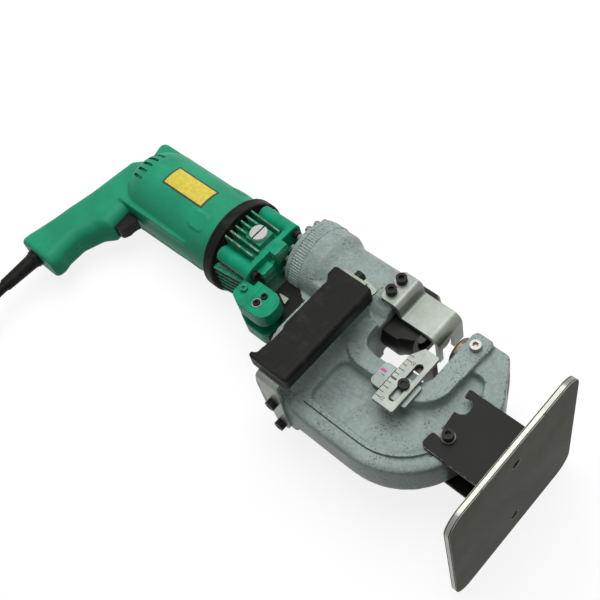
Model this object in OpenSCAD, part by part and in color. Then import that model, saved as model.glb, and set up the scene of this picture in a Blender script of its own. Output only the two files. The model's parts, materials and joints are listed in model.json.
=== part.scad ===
// Electric hydraulic hole punch: C frame, motor pump, carry handle, depth gauge and bench stand.
// Drawn along its own axes: x from the motor to the stand, y from the spine to the open throat,
// z out of the broad face. The motor axis is y = z = 0 and x = 0 is the middle of the throat.
// At the end the machine is laid on its side, resting on the stand plate and the motor.

/* [Frame] */
// Distance from the motor axis to the punch axis
punch_offset = 31.5; // [28:0.5:34]
// Opening of the throat between the barrel and the jaw
throat_gap = 70; // [66:1:78]
// Depth of the throat behind the punch axis
throat_depth = 54.5; // [48:0.5:62]
// Radius of the inner corners of the throat
throat_corner_r = 15; // [8:1:20]
// Width of the spine behind the throat
spine_w = 82; // [70:1:100]
// Length of the jaw below the throat
jaw_len = 58; // [52:1:70]
// Reach of the jaw past the punch axis
jaw_over = 14; // [13:0.5:18]
// Radius of the large corner below the spine
heel_r = 72; // [50:1:85]
// Thickness of the frame at its outer rim
rim_t = 41; // [36:0.5:46]
// Thickness of the recessed web
web_t = 28; // [22:0.5:34]
// Thickness of the raised band round the throat
band_t = 54; // [48:0.5:60]
// Width of the outer rim
rim_w = 19; // [14:0.5:24]
// Width of the raised band round the throat
band_w = 17; // [14:0.5:20]

/* [Cylinder] */
// Length of the cylinder barrel
barrel_len = 108; // [100:1:125]
// Outer radius of the barrel at its flange
barrel_r = 37; // [35.5:0.5:40]
// Outer radius of the barrel towards the throat
nose_r = 31; // [29:0.5:34]
// Radius of the cylinder bore
bore_r = 25; // [23:0.5:26]
// Radius of the piston rod
rod_r = 12.5; // [10:0.5:15]
// Wall of the rod bush
bush_wall = 4.5; // [3:0.5:6]
// Length of the piston
piston_len = 20; // [16:1:26]
// Stroke of the ram
ram_stroke = 18; // [14:1:20]
// Thickness of the cylinder head
head_t = 5; // [4:0.5:8]
// Number of head bolts
head_bolt_n = 18; // [12:1:20]
// Running clearance between sliding and turning fits, on the radius
run_clear = 0.05; // [0.03:0.01:0.09]

/* [Punch and die] */
// Radius of the punch
punch_r = 6.5; // [4:0.5:9]
// Clearance between punch and die, on the radius
die_clear = 0.3; // [0.15:0.05:0.5]
// Radius of the die head
die_r = 15; // [13.5:0.5:17]
// Radius of the die spigot in the jaw
die_seat_r = 11; // [10.5:0.25:12]
// Length of the die
die_len = 24; // [20:1:28]
// Height of the die above the jaw
die_proud = 10; // [7:0.5:12]
// Gap for the workpiece between the stripper and the die
work_gap = 10; // [8:0.5:12]
// Radius of the punch nut
nut_r = 16; // [14:0.5:19]
// Thickness of the stripper plate
strip_t = 4; // [3:0.5:5]
// Width of the stripper plate
strip_w = 33; // [28:1:36]

/* [Pump] */
// Length of the finned pump case
pump_len = 48; // [44:1:60]
// Width across the pump case core
pump_w = 58; // [54:1:66]
// Length of the neck between the pump and the cylinder head
neck_len = 8; // [7:0.5:12]
// Height of the cooling fins
fin_h = 9; // [5:0.5:12]
// Thickness of a cooling fin
fin_t = 2.4; // [1.6:0.2:3.5]
// Number of fins on the broad sides
fin_n = 6; // [4:1:7]

/* [Motor] */
// Radius of the motor housing
motor_r = 42; // [40:0.5:46]
// Length of the motor housing
motor_len = 142; // [130:1:165]
// Wall of the motor housing
motor_wall = 3.5; // [2.5:0.25:4.5]
// Rounding of the rear end of the housing
motor_fillet = 24; // [16:1:28]
// Radius of the clamp ring
ring_r = 48; // [46:0.5:52]
// Width of the clamp ring
ring_w = 12; // [10:0.5:16]
// Radius of the motor shaft
shaft_r = 5; // [4:0.5:6]
// Gear module
gear_m = 0.75; // [0.7:0.05:0.8]
// Teeth of the pinion
pinion_n = 8; // [8:1:9]
// Teeth of the drive gear
gear_n = 28; // [24:4:28]

/* [Pistol handle] */
// Distance from the motor axis to the end of the handle
handle_len = 137; // [125:1:150]
// Depth of the handle from front to back
handle_depth = 49; // [44:1:54]
// Depth of the handle at the motor
handle_root = 38; // [34:1:44]
// Thickness of the handle
handle_t = 36; // [32:1:40]
// Distance that the handle stands out behind the motor
handle_back = 16; // [10:1:22]
// Backward lean of the handle end
handle_lean = 22; // [14:1:28]
// Travel of the trigger
trigger_travel = 6; // [4:0.5:8]
// Height of the trigger
trigger_h = 21; // [18:1:24]

/* [Carry handle] */
// Height of the grip underside above the frame rim
grip_lift = 36.5; // [32:0.5:45]
// Thickness of the grip
grip_t = 16; // [14:0.5:20]
// Width of the grip ends
grip_w = 43; // [38:1:48]
// Narrowing of the grip at its middle
grip_waist = 8; // [3:0.5:11]
// Thickness of the carry bracket
bracket_t = 3; // [2:0.25:4]

/* [Depth gauge] */
// Length of the scale bar
gauge_len = 62; // [58:1:70]
// Width of the scale bar
gauge_w = 22; // [19:1:24]
// Thickness of the scale bar
gauge_t = 4; // [3:0.5:5]
// Travel of the stop towards the punch
gauge_fore = 5; // [3:0.5:5]
// Travel of the stop towards the spine
gauge_aft = 15; // [8:1:15]

/* [Stand] */
// Width of the stand plate along the frame
plate_l = 156; // [140:1:175]
// Width of the stand plate across the frame
plate_w = 166; // [150:1:180]
// Thickness of the stand plate
plate_t = 5.6; // [4:0.2:8]
// Corner radius of the stand plate
plate_corner_r = 18; // [10:1:28]
// Distance from the frame to the stand plate
stand_gap = 39; // [34:1:55]
// Distance from the punch axis to the middle of the stand plate
stand_offset = 72; // [64:0.5:80]
// Thickness of the side plates
side_t = 3.2; // [2.4:0.2:4.5]
// Width of the side plates
side_w = 63; // [56:1:70]
// Diameter of the bench bolt holes
bench_hole_d = 9; // [7:0.5:11]
// Distance between the bench bolt holes
bench_pitch = 108; // [96:1:124]

/* [Cord] */
// Diameter of the cord
cord_d = 11; // [9:0.5:11]
// Mean radius of the outermost turn of the coil
coil_r = 78; // [76:1:86]
// Whole turns in each layer of the coil
coil_turns = 3; // [2:1:3]

/* [Hidden] */
$fn = 64;

// Fits
seat_clear = 0.1;
fit_clear = 0.2;
move_clear = 0.4;
over = 1;

// Stations along the machine
throat_x0 = -throat_gap / 2;
throat_x1 = throat_gap / 2;
barrel_x = throat_x0 - barrel_len;
frame_x1 = throat_x1 + jaw_len;
head_x = barrel_x - head_t;
pump_x1 = head_x - neck_len;
pump_x0 = pump_x1 - pump_len;
motor_x1 = pump_x0 - ring_w;
motor_x0 = motor_x1 - motor_len;
plate_x0 = frame_x1 + stand_gap;
plate_x1 = plate_x0 + plate_t;

// Stations across the machine
punch_y = punch_offset;
throat_y = punch_y - throat_depth;
spine_y = throat_y - spine_w;
jaw_y = punch_y + jaw_over;
plate_y = punch_y - stand_offset;
rim_z = rim_t / 2;
web_z = web_t / 2;
band_z = band_t / 2;

// Cap screws: thread, head and socket of the three sizes
m6_r = 3;
m5_r = 2.5;
m4_r = 2;
head_ratio = 1.67;
socket_ratio = 0.9;

// Frame details
nose_x = barrel_x + 27;
nose_blend = 11;
flange_w = 12;
bore_end_x = throat_x0 - 27;
bush_r = rod_r + bush_wall;
strip_seat_z = nose_r + 1;
strip_seat_len = 15;
strip_off = 4;
shoulder_x = barrel_x + 14;
shoulder_y = punch_y - barrel_r + 4;
crest_x = throat_x0 - 53;
pocket_x0 = throat_x0 + 4;
jaw_tip_x = throat_x1 + 35;
jaw_bend_y = punch_y - 26;
slug_r = die_seat_r - 2;
stand_bolt_x = frame_x1 - 17;
stand_bolt_y = plate_y - 4;
spare_hole_y = plate_y + 25;
boss_w = 24;
boss_l = 20;

// Ram at rest
piston_x1 = barrel_x + 8 + piston_len;
piston_x0 = barrel_x + 8;
seal_w = 6;
seal_depth = 3;
strip_face_x = throat_x1 - die_proud - work_gap;
strip_mid_y = punch_y + strip_off;
strip_bend = 2.5;
strip_end_bend = 6;
strip_back_x = strip_face_x - strip_t;
nut_x1 = strip_back_x - ram_stroke - 1;
nut_x0 = throat_x0 + over;
punch_tip_x = strip_face_x - 3;
punch_flange_r = nut_r - 4;
punch_flange_t = 6;
spring_wire_r = 2;
spring_turns = 5;
spring_mid_r = rod_r + 7;

// Grip and bracket
grip_z = rim_z + grip_lift;
grip_x1 = throat_x0 - 3;
grip_x0 = grip_x1 - grip_w;
grip_mid_x = (grip_x0 + grip_x1) / 2;
leg_far_y = punch_y - 26;
leg_w = 24;
leg_low_z = -27;
leg_foot_w = 14;
leg_far_z = strip_seat_z + strip_t + 1;
carry_screw_off = 20;
carry_screw_z = [-carry_screw_off, carry_screw_off];
spine_boss_l = 14;
spine_boss_z = carry_screw_off + 8;
boss_top_z = rim_z + 31;
boss_screw_z = boss_top_z - 7;
grip_screw_z = grip_z + grip_t / 2;

// Gauge
gauge_x = throat_x1 - 15;
gauge_seat_t = 4;
gauge_z = band_z + gauge_seat_t;
gauge_y1 = throat_y + 26;
gauge_y0 = gauge_y1 - gauge_len;
gauge_slot_x = gauge_x + 3;
gauge_screw_y = throat_y - 11;
gauge_cut_x = 7;
gauge_cut_y = 12;
gauge_stop_t = 6;
gauge_stop_w = 14;
gauge_slot_r = m6_r + 0.4;

// Motor train
wheel_y = gear_m * (pinion_n + gear_n) / 2;
gear_bore_r = gear_m * (gear_n / 2 + 1) + 1;
pinion_bore_r = gear_m * (pinion_n / 2 + 1) + 1;
gear_w = 10;
gear_x0 = pump_x0 + 4;
bearing_w = 8;
bearing_r = 13;
gear_plate_w = 14;
gear_plate_x0 = motor_x1 - 2;
front_bearing_x = gear_plate_x0;
wheel_shaft_x = front_bearing_x + bearing_w + 1;
rear_bearing_w = 7;
rear_bearing_r = 10;
rear_bearing_x = motor_x0 + 5;
stator_x0 = motor_x0 + 34;
stator_x1 = motor_x1 - 44;
stator_in_r = motor_r - motor_wall - 14;
armature_r = stator_in_r - 0.8;
comm_x0 = motor_x0 + 16;
comm_x1 = motor_x0 + 28;
comm_r = 12;
fan_x0 = motor_x1 - 30;
fan_w = 14;
cavity_r = motor_r - motor_wall;
hub_r = rear_bearing_r + 4;
eccentric_r = shaft_r + 2.2;
eccentric_off = 1.5;
plunger_r = 3;
plunger_x = pump_x0 + 24;

// Pistol handle
back_top_x = motor_x0 - handle_back;
back_end_x = back_top_x - handle_lean;
front_top_x = back_top_x + handle_root;
front_end_x = back_end_x + handle_depth;
trigger_y1 = -motor_r - 1.5;
trigger_y0 = trigger_y1 - trigger_h;
trigger_w = 14;
trigger_x1 = front_top_x + 23;
trigger_x0 = front_top_x - 8;
switch_gap = 2;
switch_l = 26;
switch_x1 = trigger_x0 - trigger_travel - switch_gap;
switch_w = 18;
guard_seat = 12;
guard_len = 42;
guard_r = cord_d / 2 + 2.4;
guard_tip_r = cord_d / 2 + 0.9;
cord_exit_x = (back_end_x + front_end_x) / 2 - 4;
cord_end_y = -handle_len - guard_len;

// Resting pose: the tangent from the stand plate's inner edge to the motor's rounded end
rest_dx = plate_x0 - motor_x0 - motor_fillet;
rest_dz = plate_w / 2 - motor_r + motor_fillet;
rest_tilt = atan2(rest_dz, rest_dx) - asin(motor_fillet / norm([rest_dx, rest_dz]));
floor_z = -plate_w / 2 * cos(rest_tilt) - plate_t * sin(rest_tilt);

// A point of the machine in the laid-down frame, whose origin is the middle of the stand plate's outer face
function laid(p) = let (q = p - [plate_x1, plate_y, 0])
    [q.x * cos(rest_tilt) - q.z * sin(rest_tilt), q.y, q.x * sin(rest_tilt) + q.z * cos(rest_tilt)];

module lay_down() {
    rotate([0, -rest_tilt, 0]) translate([-plate_x1, -plate_y, 0]) children();
}

// A closed outline from corner points [x, y, radius]
function flat(p) = [p.x, p.y];
function round_corner(a, b, c, r, n) = r <= 0 ? [b] : let (
    u = (a - b) / norm(a - b),
    v = (c - b) / norm(c - b),
    half = acos(max(-1, min(1, u * v))) / 2,
    m = b + (u + v) / norm(u + v) * r / sin(half),
    s = b + u * r / tan(half) - m,
    e = b + v * r / tan(half) - m,
    a0 = atan2(s.y, s.x),
    turn = (atan2(e.y, e.x) - a0 + 540) % 360 - 180)
    [for (i = [0:n]) m + r * [cos(a0 + turn * i / n), sin(a0 + turn * i / n)]];
function outline(pts, n = 8) = let (k = len(pts)) [for (i = [0:k - 1])
    each round_corner(flat(pts[(i + k - 1) % k]), flat(pts[i]), flat(pts[(i + 1) % k]), pts[i].z, n)];

// A solid of revolution about the x axis from points [radius, x]
module revolve_x(pts) {
    rotate([0, 90, 0]) rotate_extrude() polygon(pts);
}

module rod_x(x0, x1, r) {
    translate([x0, 0, 0]) rotate([0, 90, 0]) cylinder(h = x1 - x0, r = r);
}

module tube_x(x0, x1, r_in, r_out) {
    revolve_x([[r_in, x0], [r_out, x0], [r_out, x1], [r_in, x1]]);
}

module slab(z0, z1) {
    translate([0, 0, z0]) linear_extrude(z1 - z0) children();
}

// A cap screw with its head on z = 0 and its shank below
module cap_screw(r, l, head_h = 0) {
    head_r = r * head_ratio;
    h = head_h > 0 ? head_h : 2 * r;
    difference() {
        union() {
            cylinder(h = h, r = head_r);
            translate([0, 0, -l]) cylinder(h = l + over, r = r);
        }
        translate([0, 0, h / 2]) cylinder(h = h, r = r * socket_ratio, $fn = 6);
    }
}

module screw_hole(r, l) {
    translate([0, 0, -l]) cylinder(h = l + over, r = r + seat_clear);
}

module to_punch_axis() {
    translate([0, punch_y, 0]) children();
}

module both_faces() {
    children();
    mirror([0, 0, 1]) children();
}

// Places of the fasteners
module at_stripper_screws() {
    for (side = [-1, 1])
        translate([throat_x0 - 7, strip_mid_y + side * 7, strip_seat_z]) children();
}

module at_head_bolts() {
    for (i = [0:head_bolt_n - 1])
        to_punch_axis() rotate([360 / head_bolt_n * (i + 0.5), 0, 0])
            translate([head_x, 0, barrel_r - 5]) rotate([0, -90, 0]) children();
}

module at_stand_bolts() {
    both_faces() translate([stand_bolt_x, stand_bolt_y, rim_z]) children();
}

module at_spine_screws() {
    for (z = carry_screw_z) translate([grip_mid_x, spine_y, z]) rotate([90, 0, 0]) children();
}

module at_boss_screw() {
    translate([grip_mid_x, leg_far_y, boss_screw_z]) rotate([-90, 0, 0]) children();
}

module at_grip_screw() {
    translate([grip_mid_x, leg_far_y, grip_screw_z]) rotate([-90, 0, 0]) children();
}

module at_gauge_screw() {
    translate([gauge_slot_x, gauge_screw_y, gauge_z]) children();
}

module at_die_screw() {
    translate([throat_x1 + die_len - die_proud - m6_r - 1, punch_y, band_z]) children();
}

// Plan of the cast frame
frame_plan = [[crest_x, spine_y, 14], [frame_x1, spine_y, heel_r], [frame_x1, jaw_bend_y, 30],
    [jaw_tip_x, jaw_y, 8], [throat_x1, jaw_y, 5], [throat_x1, throat_y, throat_corner_r],
    [throat_x0, throat_y, throat_corner_r], [throat_x0, punch_y, 0], [shoulder_x, punch_y, 0],
    [shoulder_x, shoulder_y, 10]];
pocket_plan = [[pocket_x0, spine_y + rim_w, 8], [frame_x1 - rim_w, spine_y + rim_w, heel_r - rim_w],
    [frame_x1 - rim_w, jaw_bend_y - 6, 14], [jaw_tip_x - 3, jaw_bend_y + 10, 6],
    [throat_x1 + band_w, jaw_bend_y + 10, 6],
    [throat_x1 + band_w, throat_y - band_w, 30], [pocket_x0, throat_y - band_w, 8]];
band_plan = [[throat_x0 - band_w, throat_y + 24, 8], [throat_x0 - band_w, throat_y - band_w, 30],
    [throat_x1 + band_w, throat_y - band_w, 30], [throat_x1 + band_w + 4, jaw_y, 6], [throat_x1, jaw_y, 5],
    [throat_x1, throat_y, throat_corner_r], [throat_x0, throat_y, throat_corner_r],
    [throat_x0, throat_y + 24, 0]];

module barrel_solid() {
    to_punch_axis() revolve_x(outline([[0, barrel_x, 0], [barrel_r, barrel_x, 1.5], [barrel_r, nose_x, 6],
        [nose_r, nose_x + nose_blend, 10], [nose_r, throat_x0, 3], [0, throat_x0, 0]]));
    translate([throat_x0 - strip_seat_len, strip_mid_y - strip_w / 2, 0])
        cube([strip_seat_len, strip_w, strip_seat_z]);
}

module bracket_boss() {
    translate([grip_mid_x - boss_w / 2, leg_far_y - boss_l, 0]) cube([boss_w, boss_l, boss_top_z]);
}

module spine_boss() {
    x0 = grip_mid_x - leg_w / 2 - 3;
    x1 = grip_mid_x + leg_w / 2 + 3;
    slab(-spine_boss_z, spine_boss_z) polygon(outline([[x0, spine_y, 3], [x1, spine_y, 3],
        [x1 - 5, spine_y + spine_boss_l, 4], [x0 + 5, spine_y + spine_boss_l, 4]]));
}

module c_frame() {
    color("lightslategray") difference() {
        union() {
            slab(-rim_z, rim_z) polygon(outline(frame_plan));
            slab(-band_z, band_z) polygon(outline(band_plan));
            barrel_solid();
            bracket_boss();
            spine_boss();
        }
        both_faces() slab(web_z, rim_z + over) polygon(outline(pocket_plan));
        // Cylinder bore, and rod bush seat
        to_punch_axis() rod_x(barrel_x - over, bore_end_x, bore_r);
        to_punch_axis() rod_x(bore_end_x - over, throat_x0 + over, bush_r);
        // Die seat and the hole that slugs fall through
        to_punch_axis() rod_x(throat_x1 - over, throat_x1 + die_len - die_proud, die_seat_r + seat_clear);
        to_punch_axis() rod_x(throat_x1, frame_x1 + over, slug_r);
        // Screw holes
        at_head_bolts() screw_hole(m4_r, head_t + 13);
        at_stripper_screws() screw_hole(m6_r, 10);
        at_stand_bolts() screw_hole(m6_r, 14);
        both_faces() translate([stand_bolt_x - 3, spare_hole_y, rim_z]) screw_hole(m5_r, 12);
        at_spine_screws() screw_hole(m6_r, 16);
        at_boss_screw() screw_hole(m6_r, 14);
        at_gauge_screw() translate([0, 0, -gauge_seat_t]) screw_hole(m6_r, 14);
        at_die_screw() screw_hole(m6_r, band_z - die_seat_r);
    }
}

module cylinder_head() {
    color("dimgray") difference() {
        to_punch_axis() revolve_x([[0, head_x], [barrel_r - 1, head_x], [barrel_r, head_x + 1],
            [barrel_r, barrel_x], [bore_r - seat_clear, barrel_x], [bore_r - seat_clear, piston_x0 - over],
            [0, piston_x0 - over]]);
        at_head_bolts() screw_hole(m4_r, head_t + over);
    }
}

module head_bolts() {
    color("silver") at_head_bolts() cap_screw(m4_r, head_t + 12);
}

module piston() {
    color("gainsboro") to_punch_axis() difference() {
        union() {
            rod_x(piston_x0, piston_x1, bore_r - run_clear);
            rod_x(piston_x1 - over, nut_x0 - over, rod_r);
            rod_x(nut_x0 - 2 * over, nut_x0 + 12, rod_r - 3);
        }
        tube_x(piston_x0 + 7, piston_x0 + 7 + seal_w, bore_r - seal_depth, bore_r + over);
    }
}

module piston_seal() {
    color("black") to_punch_axis()
        tube_x(piston_x0 + 7 + seat_clear, piston_x0 + 7 + seal_w - seat_clear, bore_r - seal_depth + seat_clear,
            bore_r - run_clear);
}

// A round wire swept along points, as one closed tube
function sweep_dir(p, i) = let (n = len(p), d = p[min(n - 1, i + 1)] - p[max(0, i - 1)]) d / norm(d);
function sweep_ring(p, i, r, k, up) = let (
    t = sweep_dir(p, i),
    s = cross(t, up) / norm(cross(t, up)),
    w = cross(s, t))
    [for (j = [0:k - 1]) p[i] + r * (cos(360 * j / k) * s + sin(360 * j / k) * w)];

module tube(p, r, k, up) {
    n = len(p);
    verts = [for (i = [0:n - 1]) each sweep_ring(p, i, r, k, up)];
    walls = [for (i = [0:n - 2], j = [0:k - 1]) let (a = i * k + j, b = i * k + (j + 1) % k)
        each [[a, b, a + k], [b, b + k, a + k]]];
    first = [for (j = [1:k - 2]) [0, j + 1, j]];
    last = [for (j = [1:k - 2]) [(n - 1) * k, (n - 1) * k + j, (n - 1) * k + j + 1]];
    polyhedron(verts, concat(walls, first, last));
}

spring_x0 = piston_x1 + spring_wire_r;
spring_x1 = bore_end_x - spring_wire_r;
spring_path = [for (i = [0:spring_turns * 12]) let (a = 30 * i)
    [spring_x0 + (spring_x1 - spring_x0) * i / (spring_turns * 12),
        punch_y + spring_mid_r * cos(a), spring_mid_r * sin(a)]];

module return_spring() {
    color("slategray") tube(spring_path, spring_wire_r, 6, [1, 0, 0]);
}

module rod_bush() {
    color("goldenrod") to_punch_axis()
        tube_x(bore_end_x, throat_x0, rod_r + run_clear, bush_r - seat_clear);
}

module punch_nut() {
    color("dimgray") to_punch_axis() difference() {
        revolve_x([[0, nut_x0], [nut_r - 1, nut_x0], [nut_r, nut_x0 + 1], [nut_r, nut_x1 - 3],
            [nut_r - 3, nut_x1], [0, nut_x1]]);
        rod_x(nut_x0 - over, nut_x0 + 12 + seat_clear, rod_r - 3 + seat_clear);
        rod_x(nut_x0 + 12, nut_x0 + 12 + punch_flange_t + fit_clear, punch_flange_r + seat_clear);
        rod_x(nut_x0, nut_x1 + over, punch_r + seat_clear);
    }
}

module punch() {
    color("darkslategray") to_punch_axis() revolve_x([[0, nut_x0 + 12 + seat_clear],
        [punch_flange_r, nut_x0 + 12 + seat_clear], [punch_flange_r, nut_x0 + 12 + punch_flange_t],
        [punch_r, nut_x0 + 12 + punch_flange_t], [punch_r, punch_tip_x], [0, punch_tip_x + 1.5]]);
}

module die() {
    die_x0 = throat_x1 - die_proud;
    hole_r = punch_r + die_clear;
    color("sienna") to_punch_axis() revolve_x([[hole_r, die_x0], [die_r - 2, die_x0], [die_r, die_x0 + 2],
        [die_r, throat_x1], [die_seat_r, throat_x1], [die_seat_r, die_x0 + die_len],
        [slug_r, die_x0 + die_len], [hole_r + 1, die_x0 + 7], [hole_r, die_x0 + 6]]);
}

module die_screw() {
    color("gainsboro") at_die_screw() cap_screw(m6_r, band_z - die_seat_r - over);
}

// A bent strip of sheet: the outline of a path [x, z, inner bend radius] with a thickness
function left(a, b) = let (d = (b - a) / norm(b - a)) [-d.y, d.x];
function shifted(p, i, h) = let (
    b = flat(p[i]),
    m = i == 0 ? left(b, flat(p[1])) : left(flat(p[i - 1]), b),
    n = i == len(p) - 1 ? m : left(b, flat(p[i + 1])))
    b + (m + n) / (1 + m * n) * h;
function turns_left(p, i) = i > 0 && i < len(p) - 1
    && cross(flat(p[i]) - flat(p[i - 1]), flat(p[i + 1]) - flat(p[i])) > 0;
function strip_outline(p, t) = concat(
    [for (i = [0:len(p) - 1]) let (q = shifted(p, i, t / 2), ends = i == 0 || i == len(p) - 1)
        [q.x, q.y, ends ? 0 : turns_left(p, i) ? p[i].z : p[i].z + t]],
    [for (i = [len(p) - 1:-1:0]) let (q = shifted(p, i, -t / 2), ends = i == 0 || i == len(p) - 1)
        [q.x, q.y, ends ? 0 : turns_left(p, i) ? p[i].z + t : p[i].z]]);

module stripper() {
    seat_z = strip_seat_z + strip_t / 2;
    low_z = nut_r + 1.5 + strip_t / 2;
    end_x = strip_face_x - strip_t / 2;
    fork_r = punch_r + 1;
    path = [[throat_x0 - strip_seat_len + 2, seat_z, 0], [throat_x0 + 6, seat_z, strip_bend],
        [throat_x0 + 8, low_z, strip_bend], [end_x, low_z, strip_end_bend], [end_x, -nut_r + 2, 0]];
    color("lightgray") difference() {
        translate([0, strip_mid_y + strip_w / 2, 0]) rotate([90, 0, 0]) linear_extrude(strip_w)
            polygon(outline(strip_outline(path, strip_t), 6));
        // Fork round the punch and the notch between the screws
        to_punch_axis() rod_x(strip_back_x - over, strip_face_x + over, fork_r);
        translate([strip_back_x - over, punch_y - fork_r, -2 * nut_r])
            cube([strip_t + 2 * over, 2 * fork_r, 2 * nut_r]);
        translate([throat_x0 - strip_seat_len + 2, strip_mid_y, strip_seat_z - over])
            cylinder(h = 3 * strip_t, r = 2.5);
        at_stripper_screws() translate([0, 0, -over]) cylinder(h = 3 * strip_t, r = m6_r + fit_clear);
    }
}

module stripper_screws() {
    color("black") at_stripper_screws() translate([0, 0, strip_t]) cap_screw(m6_r, strip_t + 9);
}

// Pump case: a square core with corner screw columns, fins on all sides and a neck to the cylinder head
column_r = 8;
column_off = pump_w / 2 - 1;
column_edge = column_off + column_r;
boss_x = pump_x0 + 24;
boss_y = 3.5;
filler_r = 8.5;
filler_boss_w = 20;
pump_top_z = pump_w / 2 + fin_h;

module at_columns() {
    for (y = [-1, 1], z = [-1, 1]) translate([0, y * column_off, z * column_off]) children();
}

module fin_row() {
    pitch = (pump_w - 2 * column_r) / (fin_n - 1);
    for (i = [0:fin_n - 1])
        translate([pump_x0 + 5, -pump_w / 2 + column_r + pitch * i - fin_t / 2, pump_w / 2 - over])
            cube([pump_len - 15, fin_t, fin_h + over]);
}

module pump_case() {
    color("seagreen") difference() {
        union() {
            translate([pump_x0, -pump_w / 2, -pump_w / 2]) cube([pump_len - 4, pump_w, pump_w]);
            rod_x(pump_x0, pump_x1, pump_w / 2 + 3);
            rod_x(pump_x0, pump_x0 + 5, motor_r);
            at_columns() rod_x(pump_x0 + 5, pump_x1 - 4, column_r);
            for (a = [0, 90, 180, 270]) rotate([a, 0, 0]) fin_row();
            translate([boss_x - filler_boss_w / 2, boss_y - filler_boss_w / 2, 0])
                cube([filler_boss_w, filler_boss_w, pump_top_z]);
            translate([pump_x1 - 10, 0, 0]) rotate([0, 90, 0]) linear_extrude(6)
                polygon(outline([for (c = [[1, 1], [-1, 1], [-1, -1], [1, -1]])
                    [c.x * column_edge, c.y * column_edge, column_r]]));
            translate([0, (punch_y + wheel_y) / 2, 0]) rod_x(pump_x1 - over, head_x, barrel_r / 2 - 2);
        }
        // Gear chamber, eccentric chamber and plunger bores
        translate([0, wheel_y, 0]) rod_x(pump_x0 - over, gear_x0 + gear_w + 2, gear_bore_r);
        rod_x(pump_x0 - over, gear_x0 + gear_w + 4, pinion_bore_r);
        translate([0, wheel_y, 0]) rod_x(pump_x0, plunger_x + 7, eccentric_r + eccentric_off + 1);
        translate([0, wheel_y, 0]) rod_x(pump_x0, pump_x1 - 4, shaft_r + run_clear);
        translate([plunger_x, wheel_y, 0]) both_faces() cylinder(h = pump_w / 2 - 6, r = plunger_r + run_clear);
        translate([boss_x, boss_y, pump_top_z]) screw_hole(filler_r - 2, 10);
        at_columns() rod_x(pump_x1 - 12, pump_x1, m5_r + seat_clear);
    }
}

module pump_screws() {
    color("black") at_columns() translate([pump_x1 - 4, 0, 0]) rotate([0, 90, 0]) cap_screw(m5_r, 8 - over);
}

// Valve block: an upper and a lower lug on the spine side of the pump, with the relief valve between them
valve_x0 = pump_x1 - 9;
valve_l = 46;
valve_w = 27;
valve_z = 25;
valve_gap = 8;
valve_y1 = -column_edge;
valve_round = 15;
valve_plan = [[valve_x0, valve_y1, 0], [valve_x0, valve_y1 - valve_w + 10, 6],
    [valve_x0 + 14, valve_y1 - valve_w + 4, 6], [valve_x0 + valve_l, valve_y1 - valve_w + 4, valve_round - 2],
    [valve_x0 + valve_l, valve_y1 + 7, valve_round - 2], [valve_x0 + 12, valve_y1 + 7, 0],
    [valve_x0 + 12, valve_y1, 0]];
valve_pin_x = valve_x0 + valve_l - 18;
valve_pin_y = valve_y1 - valve_w / 2 + 3;

module valve_block() {
    color("seagreen") difference() {
        union() {
            slab(valve_gap, valve_z) polygon(outline(valve_plan));
            slab(-valve_z, -valve_gap) polygon(outline(valve_plan));
            translate([valve_x0, valve_y1 - 12, -valve_z]) cube([12, 12, 2 * valve_z]);
        }
        translate([valve_x0 + 18, valve_y1 - valve_w, valve_z - 1]) cube([1.2, valve_w + 6, 2]);
        at_valve_screws() screw_hole(m5_r, 12);
        both_faces() translate([valve_pin_x, valve_pin_y, valve_gap - over]) cylinder(h = 5, r = 5 + seat_clear);
        translate([valve_x0 + 8, valve_y1 - 8, valve_z]) screw_hole(m4_r, 8);
    }
}

module at_valve_screws() {
    for (side = [-1, 1])
        translate([valve_x0 + valve_l - 18 + side / 2, valve_y1 - 7 + 4.5 * side, valve_z]) children();
}

module valve_screws() {
    color("dimgray") at_valve_screws() cap_screw(m5_r - 0.4, 10);
}

module relief_valve() {
    color("silver") translate([valve_pin_x, valve_pin_y, -valve_gap - 3]) cylinder(h = 2 * valve_gap + 6, r = 5);
}

module bleed_plug() {
    color("seagreen") translate([valve_x0 + 8, valve_y1 - 8, valve_z]) cap_screw(m4_r, 6);
}

module filler_plug() {
    color("whitesmoke") translate([boss_x, boss_y, pump_top_z]) difference() {
        union() {
            cylinder(h = 4, r = filler_r);
            translate([0, 0, -9]) cylinder(h = 10, r = filler_r - 2);
        }
        translate([-0.8, -filler_r, 2.6]) cube([1.6, 2 * filler_r, 3]);
    }
}

module motor_ring() {
    color("black") tube_x(motor_x1, pump_x0, motor_r + fit_clear, ring_r);
    color("black") tube_x(pump_x0, pump_x0 + 4, motor_r + fit_clear, ring_r - 2.5);
}

module gear_plate() {
    color("silver") difference() {
        union() {
            rod_x(gear_plate_x0, pump_x0, motor_r - motor_wall - seat_clear);
            rod_x(motor_x1, pump_x0, motor_r);
        }
        rod_x(front_bearing_x - over, front_bearing_x + bearing_w, bearing_r + seat_clear);
        rod_x(front_bearing_x, pump_x0 + over, pinion_bore_r);
        translate([0, wheel_y, 0]) rod_x(wheel_shaft_x - 0.5, pump_x0 + over, shaft_r + run_clear);
    }
}

module ball_bearing(x0, w, r_in, r_out) {
    tube_x(x0, x0 + w, r_in, r_out);
}

module front_bearing() {
    color("lightsteelblue") ball_bearing(front_bearing_x, bearing_w, shaft_r + run_clear, bearing_r);
}

module rear_bearing() {
    color("lightsteelblue") ball_bearing(rear_bearing_x, rear_bearing_w, shaft_r + run_clear, rear_bearing_r);
}

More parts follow.
